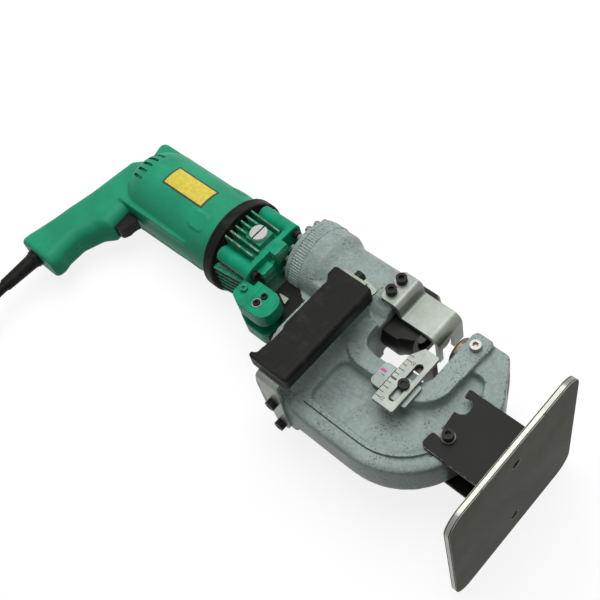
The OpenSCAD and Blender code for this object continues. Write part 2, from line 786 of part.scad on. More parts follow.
// Outer form of the motor housing and its pistol handle, as slices [y, back x, front x, thickness]
slice_t = 0.5;
handle_stations = [
    [-handle_len + slice_t / 2, back_end_x, front_end_x + 6, handle_t],
    [-handle_len + 7, back_end_x + 1, front_end_x + 5, handle_t],
    [-handle_len + 18, back_end_x + 3, front_end_x, handle_t],
    [trigger_y0 - 12, back_top_x - handle_lean * 0.55, front_top_x - 3, handle_t],
    [trigger_y0 - 3, back_top_x - handle_lean * 0.45, front_top_x + 7, handle_t],
    [0, back_top_x, front_top_x, handle_t],
    [motor_r * 0.25, motor_x0 - 4, front_top_x, handle_t],
    [motor_r * 0.86, motor_x0 - 1, front_top_x, handle_t]];

module handle_slice(s) {
    edge = min(12, s[3] / 2 - over);
    translate([0, s[0], 0]) rotate([90, 0, 0]) linear_extrude(slice_t, center = true)
        polygon(outline([[s[1], -s[3] / 2, edge], [s[2], -s[3] / 2, edge], [s[2], s[3] / 2, edge],
            [s[1], s[3] / 2, edge]], 5));
}

module motor_form() {
    step = 14;
    revolve_x(outline([[0, motor_x0, 0], [motor_r, motor_x0, motor_fillet], [motor_r, motor_x1 - step, 0],
        [motor_r + 1, motor_x1 - step + 1, 0], [motor_r + 1, motor_x1, 0], [0, motor_x1, 0]]));
}

module handle_form() {
    for (i = [0:len(handle_stations) - 2])
        hull() {
            handle_slice(handle_stations[i]);
            handle_slice(handle_stations[i + 1]);
        }
}

vent_n = 5;
vent_w = 3.2;
vent_l = 13;

module housing_hollow() {
    rod_x(rear_bearing_x + rear_bearing_w, motor_x1 + over, cavity_r);
    tube_x(motor_x0 + motor_wall + 1, rear_bearing_x + rear_bearing_w + over, hub_r, cavity_r - motor_fillet / 2);
    rod_x(rear_bearing_x, rear_bearing_x + rear_bearing_w + over, rear_bearing_r + seat_clear);
    // Cooling slots at the rear
    for (i = [0:vent_n - 1])
        rotate([65 + 11.5 * i, 0, 0]) translate([motor_x0 + motor_fillet * 0.6, cavity_r - 6, -vent_w / 2])
            cube([vent_l, motor_wall + 10, vent_w]);
    // Switch pocket, trigger slot and cord channel
    translate([switch_x1 - switch_l - fit_clear, trigger_y0 - fit_clear, -switch_w / 2 - fit_clear])
        cube([switch_l + 2 * fit_clear, trigger_h + 2 * fit_clear, switch_w + 2 * fit_clear]);
    translate([switch_x1 - over, trigger_y0 - move_clear, -trigger_w / 2 - move_clear])
        cube([trigger_x1 - switch_x1, trigger_h + 2 * move_clear, trigger_w + 2 * move_clear]);
    translate([cord_exit_x, -handle_len - over, 0]) rotate([-90, 0, 0])
        cylinder(h = guard_seat + over, r = guard_r + seat_clear);
    translate([cord_exit_x, -handle_len, 0]) rotate([-90, 0, 0])
        cylinder(h = handle_len + trigger_y0, r = cord_d / 2 + over);
}

screw_spots = [[back_top_x + 15, 6], [back_end_x + 9, -handle_len + 26], [front_end_x - 12, -handle_len + 44]];

module at_housing_screws() {
    for (s = screw_spots) translate([s.x, s.y, 0]) children();
}

module housing_half() {
    difference() {
        intersection() {
            union() {
                motor_form();
                handle_form();
            }
            translate([back_end_x - 10, -handle_len - 10, 0])
                cube([motor_x1 - back_end_x + 20, handle_len + motor_r + 20, motor_r + 10]);
        }
        housing_hollow();
        translate([0, 0, -over]) at_housing_screws() cylinder(h = 9 + over, r = m4_r + seat_clear);
    }
}

module housing_upper() {
    color("mediumseagreen") housing_half();
}

module housing_lower() {
    color("mediumseagreen") difference() {
        mirror([0, 0, 1]) difference() {
            intersection() {
                union() {
                    motor_form();
                    handle_form();
                }
                translate([back_end_x - 10, -handle_len - 10, 0])
                    cube([motor_x1 - back_end_x + 20, handle_len + motor_r + 20, motor_r + 10]);
            }
            mirror([0, 0, 1]) housing_hollow();
        }
        at_housing_screws() translate([0, 0, -motor_r - over]) cylinder(h = motor_r + 2 * over, r = m4_r + seat_clear);
        at_housing_screws() translate([0, 0, -motor_r - over])
            cylinder(h = motor_r + over - screw_seat, r = m4_r * head_ratio + fit_clear);
    }
}

screw_seat = 8;

module housing_screws() {
    color("silver") at_housing_screws() translate([0, 0, -screw_seat]) mirror([0, 0, 1])
        cap_screw(m4_r, screw_seat + 7);
}

module stator() {
    color("dimgray") tube_x(stator_x0, stator_x1, stator_in_r, cavity_r - seat_clear);
}

module armature() {
    color("peru") revolve_x([[0, rear_bearing_x], [shaft_r, rear_bearing_x], [shaft_r, comm_x0],
        [comm_r, comm_x0], [comm_r, comm_x1], [shaft_r, comm_x1], [shaft_r, stator_x0 + 2],
        [armature_r, stator_x0 + 2], [armature_r, stator_x1 - 2], [shaft_r, stator_x1 - 2],
        [shaft_r, front_bearing_x + bearing_w], [pinion_hub_r, front_bearing_x + bearing_w],
        [pinion_hub_r, gear_x0 + gear_w], [0, gear_x0 + gear_w]]);
}

module fan() {
    blades = 9;
    color("darkgray") {
        tube_x(fan_x0, fan_x0 + 2, shaft_r + seat_clear / 2, cavity_r - 4);
        tube_x(fan_x0, fan_x0 + fan_w, shaft_r + seat_clear / 2, shaft_r + 4);
        for (i = [0:blades - 1])
            rotate([360 / blades * i, 0, 0]) translate([fan_x0, shaft_r + 3, -0.8])
                cube([fan_w, cavity_r - 10 - shaft_r, 1.6]);
    }
}

brush_w = 6;
brush_t = 9;
brush_l = 16;
brush_wall = 1.2;

module at_brushes() {
    for (a = [0, 180]) rotate([a, 0, 0]) translate([(comm_x0 + comm_x1) / 2, 0, 0]) children();
}

module brush_holders() {
    outer = [brush_w + 2 * brush_wall, 0, brush_t + 2 * brush_wall];
    color("goldenrod") at_brushes() difference() {
        translate([-outer.x / 2, comm_r + 2, -outer.z / 2])
            cube([outer.x, cavity_r - comm_r - 3.2, outer.z]);
        translate([-brush_w / 2 - seat_clear, comm_r, -brush_t / 2 - seat_clear])
            cube([brush_w + 2 * seat_clear, cavity_r, brush_t + 2 * seat_clear]);
    }
}

module carbon_brushes() {
    color("black") at_brushes() translate([-brush_w / 2, comm_r + move_clear, -brush_t / 2])
        cube([brush_w, brush_l, brush_t]);
}

// Spur gear with straight-sided teeth, about the x axis
pinion_hub_r = gear_m * (pinion_n / 2 - 1.25) - 0.2;

module spur(n, w, bore) {
    pitch_r = gear_m * n / 2;
    root_r = pitch_r - 1.25 * gear_m;
    tip_r = pitch_r + 0.95 * gear_m;
    tip_half = 0.30 * gear_m;
    pitch_half = 0.70 * gear_m;
    root_half = 0.95 * gear_m;
    rotate([0, 90, 0]) difference() {
        linear_extrude(w) union() {
            circle(r = root_r);
            for (i = [0:n - 1]) rotate(360 / n * i)
                polygon([[root_r - 0.6, -root_half], [pitch_r, -pitch_half], [tip_r, -tip_half],
                    [tip_r, tip_half], [pitch_r, pitch_half], [root_r - 0.6, root_half]]);
        }
        if (bore > 0) translate([0, 0, -over]) cylinder(h = w + 2 * over, r = bore);
    }
}

module pinion() {
    color("silver") translate([gear_x0 - 1, 0, 0]) rotate([90, 0, 0])
        spur(pinion_n, gear_w, pinion_hub_r + seat_clear / 2);
}

module drive_gear() {
    color("silver") translate([gear_x0, wheel_y, 0]) rotate([-90 + 180 / gear_n, 0, 0])
        spur(gear_n, gear_w, shaft_r + seat_clear / 2);
}

module eccentric_shaft() {
    color("lightgray") {
        translate([0, wheel_y, 0]) rod_x(wheel_shaft_x, pump_x1 - 5, shaft_r);
        translate([0, wheel_y + eccentric_off, 0]) rod_x(plunger_x - 5, plunger_x + 5, eccentric_r);
    }
}

module pump_plungers() {
    reach = eccentric_r + eccentric_off + move_clear;
    color("gainsboro") translate([plunger_x, wheel_y, 0]) both_faces()
        translate([0, 0, reach]) cylinder(h = pump_w / 2 - 7 - reach, r = plunger_r);
}

module trigger() {
    dip = 5;
    lead = trigger_x1 - trigger_x0;
    color("black") intersection() {
        translate([trigger_x0, trigger_y0, -trigger_w / 2]) cube([lead, trigger_h, trigger_w]);
        slab(-trigger_w, trigger_w) difference() {
            polygon(outline([[trigger_x0, trigger_y0, 0], [trigger_x1 - 9, trigger_y0, 5],
                [trigger_x1, trigger_y1, 5], [trigger_x0, trigger_y1, 0]]));
            translate([trigger_x1 + 3 * dip - 2, (trigger_y0 + trigger_y1) / 2]) circle(r = 4 * dip - 1);
        }
    }
}

module trigger_spring() {
    color("silver") translate([0, (trigger_y0 + trigger_y1) / 2, 0])
        tube([for (i = [0:40]) [switch_x1 + 1.1 + (trigger_x0 - switch_x1 - 2.2) * i / 40,
            3.4 * cos(36 * i), 3.4 * sin(36 * i)]], 0.45, 6, [1, 0, 0]);
}

module switch_body() {
    color("darkslategray") translate([switch_x1 - switch_l, trigger_y0, -switch_w / 2])
        cube([switch_l, trigger_h, switch_w]);
}

module carry_bracket() {
    top_z = grip_z - bracket_t / 2;
    leg_near_y = spine_y - bracket_t / 2;
    leg_x0 = grip_mid_x - leg_w / 2;
    leg_x1 = grip_mid_x + leg_w / 2;
    leg_top_z = grip_screw_z + 5;
    color("lightgray") difference() {
        intersection() {
            translate([leg_x0, 0, 0]) rotate([90, 0, 90]) linear_extrude(leg_w) union() {
                polygon(outline(strip_outline([[leg_near_y, leg_low_z, 0], [leg_near_y, top_z, 2],
                    [leg_far_y + bracket_t / 2, top_z, 0]], bracket_t), 5));
                translate([leg_far_y, leg_far_z]) square([bracket_t, leg_top_z - leg_far_z]);
            }
            translate([0, leg_far_y + 2 * bracket_t, 0]) rotate([90, 0, 0])
                linear_extrude(leg_far_y - spine_y + 4 * bracket_t)
                polygon(outline([[grip_mid_x - leg_foot_w / 2, leg_low_z, 5],
                    [grip_mid_x + leg_foot_w / 2, leg_low_z, 5], [leg_x1, leg_far_z - 2, 0],
                    [leg_x1, leg_top_z + 1, 0], [leg_x0, leg_top_z + 1, 0], [leg_x0, leg_far_z - 2, 0]]));
        }
        at_spine_screws() translate([0, 0, -over]) cylinder(h = 3 * bracket_t, r = m6_r + fit_clear);
        at_boss_screw() translate([0, 0, -over]) cylinder(h = 3 * bracket_t, r = m6_r + fit_clear);
        at_grip_screw() translate([0, 0, -over]) cylinder(h = 3 * bracket_t, r = m6_r + fit_clear);
    }
}

module carry_grip() {
    y0 = spine_y + 2.5;
    y1 = leg_far_y - fit_clear;
    flare = 9;
    color("black") difference() {
        intersection() {
            slab(grip_z, grip_z + grip_t) polygon(outline([[grip_x0, y0, 4], [grip_x1, y0, 4], [grip_x1, y1, 4],
                [grip_x0, y1, 4], [grip_x0, y1 - flare, 5], [grip_x0 + grip_waist, y1 - 2 * flare, 18],
                [grip_x0 + grip_waist, y0 + 2 * flare, 18], [grip_x0, y0 + flare, 5]]));
            translate([0, y1 + over, 0]) rotate([90, 0, 0]) linear_extrude(y1 - y0 + 2 * over)
                polygon(outline([[grip_x0, grip_z, 2], [grip_x1, grip_z, 2],
                    [grip_x1, grip_z + grip_t, 4], [grip_x0, grip_z + grip_t, 4]], 4));
        }
        at_grip_screw() screw_hole(m6_r, 16);
    }
}

module carry_screws() {
    color("black") {
        at_spine_screws() translate([0, 0, bracket_t]) cap_screw(m6_r, bracket_t + 14);
        at_boss_screw() translate([0, 0, bracket_t]) cap_screw(m6_r, bracket_t + 12);
        at_grip_screw() translate([0, 0, bracket_t]) cap_screw(m6_r, bracket_t + 14);
    }
}

// Depth gauge: a fixed seat on the throat band, a slotted bar that slides on it, and its stop
gauge_seat_y0 = gauge_screw_y - 9;
gauge_seat_y1 = gauge_screw_y + 9;
index_l = 12;

module gauge_base() {
    x0 = gauge_x - gauge_w / 2 - index_l;
    x1 = gauge_x + gauge_w / 2 + 4;
    color("gainsboro") difference() {
        union() {
            slab(band_z, gauge_z) polygon(outline([[x0, gauge_seat_y0, 5], [x1, gauge_seat_y0, 2],
                [x1, gauge_seat_y1, 2], [x0, gauge_seat_y1, 5]]));
            slab(band_z, gauge_z + gauge_t) polygon(outline([[x0, gauge_seat_y0, 5],
                [x0 + index_l - move_clear, gauge_seat_y0, 0], [x0 + index_l - move_clear, gauge_seat_y1, 0],
                [x0, gauge_seat_y1, 5]]));
        }
        at_gauge_screw() translate([0, 0, -gauge_seat_t - over])
            cylinder(h = gauge_seat_t + 2 * over, r = m6_r + seat_clear);
    }
}

module gauge_bar() {
    slot_y0 = gauge_screw_y - gauge_fore - 9;
    slot_y1 = gauge_screw_y + gauge_aft + 5;
    color("whitesmoke") difference() {
        slab(gauge_z, gauge_z + gauge_t) polygon(outline([[gauge_x - gauge_w / 2, gauge_y0, 2],
            [gauge_x + gauge_w / 2, gauge_y0, 2], [gauge_x + gauge_w / 2, gauge_y1, 2],
            [gauge_x - gauge_w / 2 + gauge_cut_x, gauge_y1, 2],
            [gauge_x - gauge_w / 2, gauge_y1 - gauge_cut_y, 2]]));
        slab(gauge_z - over, gauge_z + gauge_t + over) hull_slot(gauge_slot_x, slot_y0, slot_y1, gauge_slot_r);
    }
}

module hull_slot(x, y0, y1, r) {
    for (y = [y0, y1]) translate([x, y]) circle(r = r);
    translate([x - r, y0]) square([2 * r, y1 - y0]);
}

module gauge_stop() {
    color("darkslategray") {
        translate([gauge_x - gauge_stop_w / 2, gauge_y1 - gauge_stop_t, -rim_z])
            cube([gauge_stop_w, gauge_stop_t, gauge_z + rim_z]);
    }
}

module gauge_screw() {
    color("black") at_gauge_screw() translate([0, 0, gauge_t])
        cap_screw(m6_r, gauge_t + gauge_seat_t + 12, m6_r + 0.4);
}

module stand_plate() {
    color("darkkhaki") difference() {
        translate([plate_x0, plate_y, 0]) rotate([0, 90, 0]) linear_extrude(plate_t)
            polygon(outline([for (c = [[1, 1], [1, -1], [-1, -1], [-1, 1]])
                [c.x * plate_w / 2, c.y * plate_l / 2, plate_corner_r]]));
        both_faces() translate([plate_x0 - over, plate_y, bench_pitch / 2]) rotate([0, 90, 0])
            cylinder(h = plate_t + 2 * over, d = bench_hole_d);
    }
}

// A side plate with an open slot for its bolt and a half-round notch beside the spare hole
side_y0 = plate_y - side_w / 2 + 9;
side_y1 = plate_y + side_w / 2 + 9;
side_x0 = stand_bolt_x - 10;

module side_plate() {
    slot_r = m6_r + 0.6;
    color("black") difference() {
        slab(rim_z, rim_z + side_t) difference() {
            polygon(outline([[side_x0 - 4, side_y0, 5], [plate_x0, side_y0, 0], [plate_x0, side_y1, 0],
                [side_x0 - 3, side_y1, 2], [side_x0 + 1, stand_bolt_y + 6, 2], [side_x0 - 4, stand_bolt_y - 8, 3]]));
            hull_slot_x(side_x0 - 8, stand_bolt_x, stand_bolt_y, slot_r);
            translate([stand_bolt_x - 9, spare_hole_y]) circle(r = 8);
        }
    }
}

module hull_slot_x(x0, x1, y, r) {
    translate([x1, y]) circle(r = r);
    translate([x0, y - r]) square([x1 - x0, 2 * r]);
}

module stand_side_upper() {
    side_plate();
}

module stand_side_lower() {
    mirror([0, 0, 1]) side_plate();
}

washer_t = 1.6;

module stand_bolts() {
    color("black") at_stand_bolts() translate([0, 0, side_t + washer_t]) cap_screw(m6_r, side_t + washer_t + 12);
}

module stand_washers() {
    color("dimgray") at_stand_bolts() translate([0, 0, side_t]) difference() {
        cylinder(h = washer_t, r = 2.1 * m6_r);
        translate([0, 0, -over]) cylinder(h = washer_t + 2 * over, r = m6_r + fit_clear);
    }
}

module cord_guard() {
    color("black") translate([cord_exit_x, 0, 0]) rotate([90, 0, 0]) rotate_extrude()
        polygon([[0, handle_len - guard_seat], [guard_r, handle_len - guard_seat], [guard_r, handle_len],
            [guard_r + 1.5, handle_len], [guard_r + 1.5, handle_len + 3], [guard_r, handle_len + 4],
            [guard_tip_r, handle_len + guard_len], [0, handle_len + guard_len]]);
}

// The cord lies on the floor. Its places are in the laid-down frame, measured from the cord's exit.
cord_r = cord_d / 2;
cord_exit = laid([cord_exit_x, cord_end_y, 0]);
ground_z = floor_z + cord_r;
tie_t = 1.2;
cord_gap = 0.3;
coil_z = ground_z + tie_t + 0.4;
coil_pitch = cord_d + 0.6;
coil_rise = cord_d + 0.6;
coil_centre = [cord_exit.x - 52, cord_exit.y - 120];
coil_start_a = 10;
loop_rings = 24;

// Angle and radius along the coil: inwards on the floor, half a turn up, quickly out past it, outwards on top
coil_n = coil_turns * loop_rings;
climb_n = loop_rings / 2;
step_n = 18;
top_n = round((coil_turns - 0.92) * loop_rings);
coil_last = coil_n + climb_n + top_n;
function ease(u) = u * u * (3 - 2 * u);
function coil_in_r(i) = coil_r - coil_pitch * i / loop_rings;
function coil_top_r(m) = coil_in_r(coil_n + climb_n) + coil_pitch
    * (1.2 * min(m, step_n) / step_n + max(0, m - step_n) / loop_rings);
function coil_r_at(i) = i <= coil_n + climb_n ? coil_in_r(i) : coil_top_r(i - coil_n - climb_n);
function coil_z_at(i) = coil_z + coil_rise * ease(max(0, min(1, (i - coil_n) / climb_n)));
function coil_point(i) = let (a = coil_start_a - 360 * i / loop_rings)
    [coil_centre.x + coil_r_at(i) * cos(a), coil_centre.y + coil_r_at(i) * sin(a), coil_z_at(i)];
coil_core = [for (i = [0:coil_last]) coil_point(i)];
function lead_dir(a, b) = (a - b) / norm(a - b);
coil_in = coil_core[0] + cord_d * lead_dir(coil_core[0], coil_core[1]);
coil_out = coil_core[coil_last] + cord_d * lead_dir(coil_core[coil_last], coil_core[coil_last - 1]);
coil_path = concat([coil_in], coil_core, [coil_out]);

// Least gap between turns of the coil that are not neighbours along it
self_gap = min([for (i = [0:2:coil_last], j = [i + loop_rings / 2:1:coil_last])
    norm(coil_core[i] - coil_core[j])]) - cord_d;
echo(coil_self_gap = self_gap);

// Free stretch from the guard down to the start of the coil, as a curve that leaves along the guard
function bend(p, q, r, t, u) = pow(1 - u, 3) * p + 3 * u * pow(1 - u, 2) * q + 3 * u * u * (1 - u) * r
    + pow(u, 3) * t;
lead_n = 16;
lead_in = lead_dir(coil_in, coil_core[0]);
lead_out = [0, -1, 0];
lead_from = cord_exit + 6 * lead_out;
lead_to = coil_in + 6 * lead_in;
lead_path = concat([cord_exit + cord_gap * lead_out],
    [for (i = [0:lead_n]) bend(lead_from, lead_from + 40 * lead_out, lead_to + 55 * lead_in, lead_to, i / lead_n)],
    [coil_in + cord_gap * lead_in]);

// The loose end and the plug stay on top of the coil
tail_dir = lead_dir(coil_out, coil_core[coil_last]);
tail_len = 12;
function tail_point(s) = coil_out + s * tail_dir;
tail_path = [tail_point(cord_gap), tail_point(tail_len)];

module cord_lead() {
    color("black") tube(lead_path, cord_r, 10, [0, 0, 1]);
}

module cord_coil() {
    color("black") tube(coil_path, cord_r, 6, [0, 0, 1]);
}

module cord_tail() {
    color("black") tube(tail_path, cord_r, 10, [0, 0, 1]);
}

tie_a = 200;
tie_i = (coil_start_a - tie_a + 360) / 360 * loop_rings;

module cord_tie() {
    inner = coil_in_r(tie_i + coil_n) - cord_r - 1;
    outer = coil_in_r(tie_i) + cord_r + 1;
    low = floor_z + tie_t;
    high = coil_z + coil_rise + cord_r + 0.6;
    color("dimgray") translate([coil_centre.x, coil_centre.y, 0]) rotate([0, 0, tie_a]) rotate([90, 0, 0])
        linear_extrude(9, center = true) difference() {
            polygon(outline([[inner - tie_t, low - tie_t, 3], [outer + tie_t, low - tie_t, 3],
                [outer + tie_t, high + tie_t, 3], [inner - tie_t, high + tie_t, 3]], 4));
            polygon(outline([[inner, low, 2], [outer, low, 2], [outer, high, 2], [inner, high, 2]], 4));
        }
}

plug_at = tail_point(tail_len + cord_gap);
plug_turn = atan2(tail_dir.y, tail_dir.x);
plug_l = 34;
plug_w = 26;
plug_t = 2 * (coil_rise - cord_r) - 0.2;

module at_plug() {
    translate(plug_at) rotate([0, 0, plug_turn]) children();
}

module plug_body() {
    color("black") at_plug() hull() {
        rotate([0, 90, 0]) cylinder(h = 1, r = cord_r + 0.4, $fn = 24);
        translate([14, 0, 0]) rotate([0, 90, 0]) linear_extrude(plug_l - 14)
            polygon(outline([[-plug_t / 2, -plug_w / 2, 5], [plug_t / 2, -plug_w / 2, 5],
                [plug_t / 2, plug_w / 2, 5], [-plug_t / 2, plug_w / 2, 5]], 4));
    }
}

module plug_pins() {
    color("gold") at_plug() for (side = [-1, 1])
        translate([plug_l, side * 6.35 - 0.75, -3]) cube([17, 1.5, 6]);
}

lay_down() c_frame();
lay_down() cylinder_head();
lay_down() head_bolts();
lay_down() piston();
lay_down() piston_seal();
lay_down() return_spring();
lay_down() rod_bush();
lay_down() punch_nut();
lay_down() punch();
lay_down() die();
lay_down() die_screw();
lay_down() stripper();
lay_down() stripper_screws();
lay_down() pump_case();
lay_down() pump_screws();
lay_down() valve_block();
lay_down() valve_screws();
lay_down() relief_valve();
lay_down() bleed_plug();
lay_down() filler_plug();
lay_down() motor_ring();
lay_down() gear_plate();
lay_down() housing_upper();
lay_down() housing_lower();
lay_down() housing_screws();
lay_down() stator();
lay_down() armature();
lay_down() fan();
lay_down() brush_holders();
lay_down() carbon_brushes();
lay_down() front_bearing();
lay_down() rear_bearing();
lay_down() pinion();
lay_down() drive_gear();
lay_down() eccentric_shaft();
lay_down() pump_plungers();
lay_down() trigger();
lay_down() trigger_spring();
lay_down() switch_body();
lay_down() carry_bracket();
lay_down() carry_grip();
lay_down() carry_screws();
lay_down() gauge_base();
lay_down() gauge_bar();
lay_down() gauge_stop();
lay_down() gauge_screw();
lay_down() stand_plate();
lay_down() stand_side_upper();
lay_down() stand_side_lower();
lay_down() stand_bolts();
lay_down() stand_washers();
lay_down() cord_guard();
cord_lead();
cord_coil();
cord_tail();
cord_tie();
plug_body();
plug_pins();
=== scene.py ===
"""Looks of an electric hydraulic hole punch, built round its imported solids."""

import json
import math

import bmesh
import bpy
from mathutils import Matrix, Vector


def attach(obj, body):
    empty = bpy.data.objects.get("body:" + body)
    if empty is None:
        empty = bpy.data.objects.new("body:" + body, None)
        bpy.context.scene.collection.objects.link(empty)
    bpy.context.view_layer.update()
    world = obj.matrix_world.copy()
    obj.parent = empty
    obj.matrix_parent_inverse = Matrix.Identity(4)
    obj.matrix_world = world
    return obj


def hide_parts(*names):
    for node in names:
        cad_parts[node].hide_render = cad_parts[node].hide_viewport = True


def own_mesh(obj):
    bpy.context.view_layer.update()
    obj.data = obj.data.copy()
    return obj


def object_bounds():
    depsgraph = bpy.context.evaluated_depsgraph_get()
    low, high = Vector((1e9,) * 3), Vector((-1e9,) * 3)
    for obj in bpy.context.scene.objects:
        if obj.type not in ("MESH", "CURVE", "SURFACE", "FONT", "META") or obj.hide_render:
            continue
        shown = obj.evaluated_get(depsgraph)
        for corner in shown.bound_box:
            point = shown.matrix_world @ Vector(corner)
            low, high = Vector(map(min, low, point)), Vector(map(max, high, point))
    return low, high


bl_info = {
    "name": "Hydraulic hole punch looks",
    "version": (1, 0, 0),
    "blender": (4, 5, 0),
    "location": "View3D > Sidebar > Hole Punch",
    "description": "Dresses the packed solids of a hydraulic hole punch and sets its stage",
    "category": "Object",
}

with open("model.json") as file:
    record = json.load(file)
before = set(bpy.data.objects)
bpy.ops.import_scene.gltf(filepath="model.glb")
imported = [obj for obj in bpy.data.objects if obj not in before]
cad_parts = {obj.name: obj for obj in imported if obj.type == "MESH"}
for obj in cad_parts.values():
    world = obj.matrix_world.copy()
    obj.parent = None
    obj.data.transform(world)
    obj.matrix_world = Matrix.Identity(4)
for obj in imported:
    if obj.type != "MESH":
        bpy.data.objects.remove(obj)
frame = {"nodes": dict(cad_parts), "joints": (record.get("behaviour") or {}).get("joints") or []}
CAD_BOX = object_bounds()
NODES = frame["nodes"]
MM = 0.001
FULL_TURN = 2 * math.pi

# The machine's own axes, in millimetres: x from motor to stand, y from spine to throat, z out of the face.
# The row's origin is the middle of the stand plate's outer face, and the machine lies tilted on it.
RAM = next(j for j in frame["joints"] if j["name"] == "ram_slide")
TILT = math.atan2(RAM["axis"][2], RAM["axis"][0])
PLATE_MIDDLE = Vector((137.6, -40.5, 0.0))
TO_ROW = (Matrix.Diagonal((MM, MM, MM, 1)) @ Matrix.Rotation(-TILT, 4, "Y")
          @ Matrix.Translation(-PLATE_MIDDLE))
TO_TOOL = TO_ROW.inverted()

# Stations of the machine, as its source has them
MOTOR_X0 = -358.0
MOTOR_X1 = -216.0
PUMP_X0 = -204.0
PUMP_X1 = -156.0
HEAD_X = -148.0
BARREL_X = -143.0
BARREL_R = 37.0
NECK_Y = 22.5
PUNCH_Y = 31.5
THROAT_X1 = 35.0
FRAME_X1 = 93.0
SPINE_Y = -105.0
HEEL_R = 72.0
HEEL_X = FRAME_X1 - HEEL_R
RIM_W = 19.0
BAND_W = 17.0
BAND_Z = 27.0
VALVE_Z = 25.0
BOSS_X = -180.0
BOSS_Y = 3.5
GUARD_X = -375.5
GUARD_Y = -137.0
GUARD_REACH = 42.0

# Forms that the looks add to it
SPINE_X = -107.0
RECESS_Z = 3.0
WEB_Z = 10.8
WEB_GAP = 0.3
LINE_W = 1.3
LINE_Z = 17.0
RIDGE_N = 84
DOME_N = 18
VENT_N = 5
FIN_N = 6
FIN_PITCH = 7.0
FIN_T = 1.8
FIN_TOP = 42.0
PLATE_CORNER_R = 18.0

# Camera at the photograph's viewing angle: metres and degrees in the row frame, and millimetres of lens
EYE_PLACE = (0.09428, -0.23003, 0.74014)
EYE_TURN = (29.1624, 6.5021, 42.3923)
EYE_LENS = 57.305
SENSOR_W = 36

# Lamps, each with its place and size in metres and its power in watts, and the point that they face
LAMPS = (("key", (-0.4, 0.25, 1.35), 1.1, 16.0), ("rim", (-0.9, 0.9, 0.7), 0.7, 2.0),
         ("fill", (0.5, -0.9, 0.8), 0.9, 0.5))
LAMP_AIM = Vector((-0.22, 0.05, -0.03))

# Light that the floor and the world give: to what the camera sees, and to the rest
FLOOR_SEEN = 0.84
WORLD_SEEN = 1.0
WORLD_LIGHT = 0.16


def srgb(red, green, blue):
    """A colour picked on a screen, as the linear values that shaders take."""
    parts = [c / 255 for c in (red, green, blue)]
    linear = [c / 12.92 if c <= 0.04045 else ((c + 0.055) / 1.055) ** 2.4 for c in parts]
    return (*linear, 1.0)


def colour(name, text, rgb):
    """A colour property with its default."""
    return bpy.props.FloatVectorProperty(name=name, description=text, subtype="COLOR", size=4, min=0, max=1,
                                         default=srgb(*rgb))


def length(name, text, value):
    """A length property in metres, with its default in millimetres."""
    return bpy.props.FloatProperty(name=name, description=text, default=value * MM, min=0, unit="LENGTH")


class PunchColours(bpy.types.PropertyGroup):
    """Colours of the hole punch's finishes."""

    casting: colour("Casting paint", "Hammered silver-grey paint of the frame", (150, 165, 161))
    housing: colour("Housing green", "Moulded plastic of the motor and handle", (42, 156, 118))
    pump: colour("Pump green", "Paint of the pump case and valve block", (16, 154, 116))
    zinc: colour("Zinc", "Zinc plating of stripper and bracket", (132, 139, 130))
    alloy: colour("Alloy", "Aluminium of the scale bar", (132, 139, 131))
    plate: colour("Stand plate", "Bare steel of the stand plate", (74, 76, 62))
    side: colour("Side plates", "Black paint of the stand's side plates", (19, 19, 16))
    rubber: colour("Rubber", "Rubber of grip, ring and cord", (22, 23, 19))
    screw: colour("Screws", "Black oxide of the cap screws", (28, 27, 25))
    label: colour("Patch", "Plain patch on the motor", (226, 206, 66))
    plug: colour("Filler plug", "White plastic of the filler plug", (206, 208, 202))
    index: colour("Index mark", "Paint dash on the gauge seat", (206, 66, 150))
    floor: colour("Floor", "Floor and backdrop", (122, 122, 122))


class PunchSizes(bpy.types.PropertyGroup):
    """Sizes of the hole punch's visible detail."""

    casting_cell: length("Casting cell", "Mesh cell of the fused casting", 1.35)
    housing_cell: length("Housing cell", "Mesh cell of the fused motor housing", 1.15)
    pump_cell: length("Pump cell", "Mesh cell of the fused pump case", 0.85)
    sheet_edge: length("Sheet edge", "Rounding of cut sheet edges", 0.5)
    screw_edge: length("Screw edge", "Rounding of screw heads", 0.45)
    seam_gap: length("Seam gap", "Gap between the housing halves", 0.3)
    hammer_cell: length("Hammer cell", "Size of a dimple in the hammered paint", 2.4)
    cord_diameter: length("Cord diameter", "Diameter of the mains lead", 11.0)


def colours():
    """The scene's colours."""
    return bpy.context.scene.punch_colours


def measure(name):
    """One of the scene's sizes, in millimetres."""
    return getattr(bpy.context.scene.punch_sizes, name) / MM


# Meshes


def joined(*meshes):
    """Several bmeshes as one."""
    whole = bmesh.new()
    for part in meshes:
        data = bpy.data.meshes.new("join")
        part.to_mesh(data)
        part.free()
        whole.from_mesh(data)
        bpy.data.meshes.remove(data)
    return whole


def outward(bm):
    """Merges doubles and turns the faces outwards."""
    bmesh.ops.remove_doubles(bm, verts=bm.verts, dist=1e-4)
    bmesh.ops.recalc_face_normals(bm, faces=bm.faces)
    return bm


def moved(bm, matrix):
    """The bmesh, transformed."""
    bmesh.ops.transform(bm, matrix=matrix, verts=bm.verts)
    return bm


def rotation(angle, axis):
    """A turn by degrees about an axis."""
    return Matrix.Rotation(math.radians(angle), 4, axis)


def shift(x, y, z):
    """A move."""
    return Matrix.Translation((x, y, z))


def corner_reach(before, here, after, radius):
    """How far from a corner its rounding starts."""
    a = (before - here).normalized()
    b = (after - here).normalized()
    half = math.acos(max(-1.0, min(1.0, a.dot(b)))) / 2
    return radius / math.tan(half)


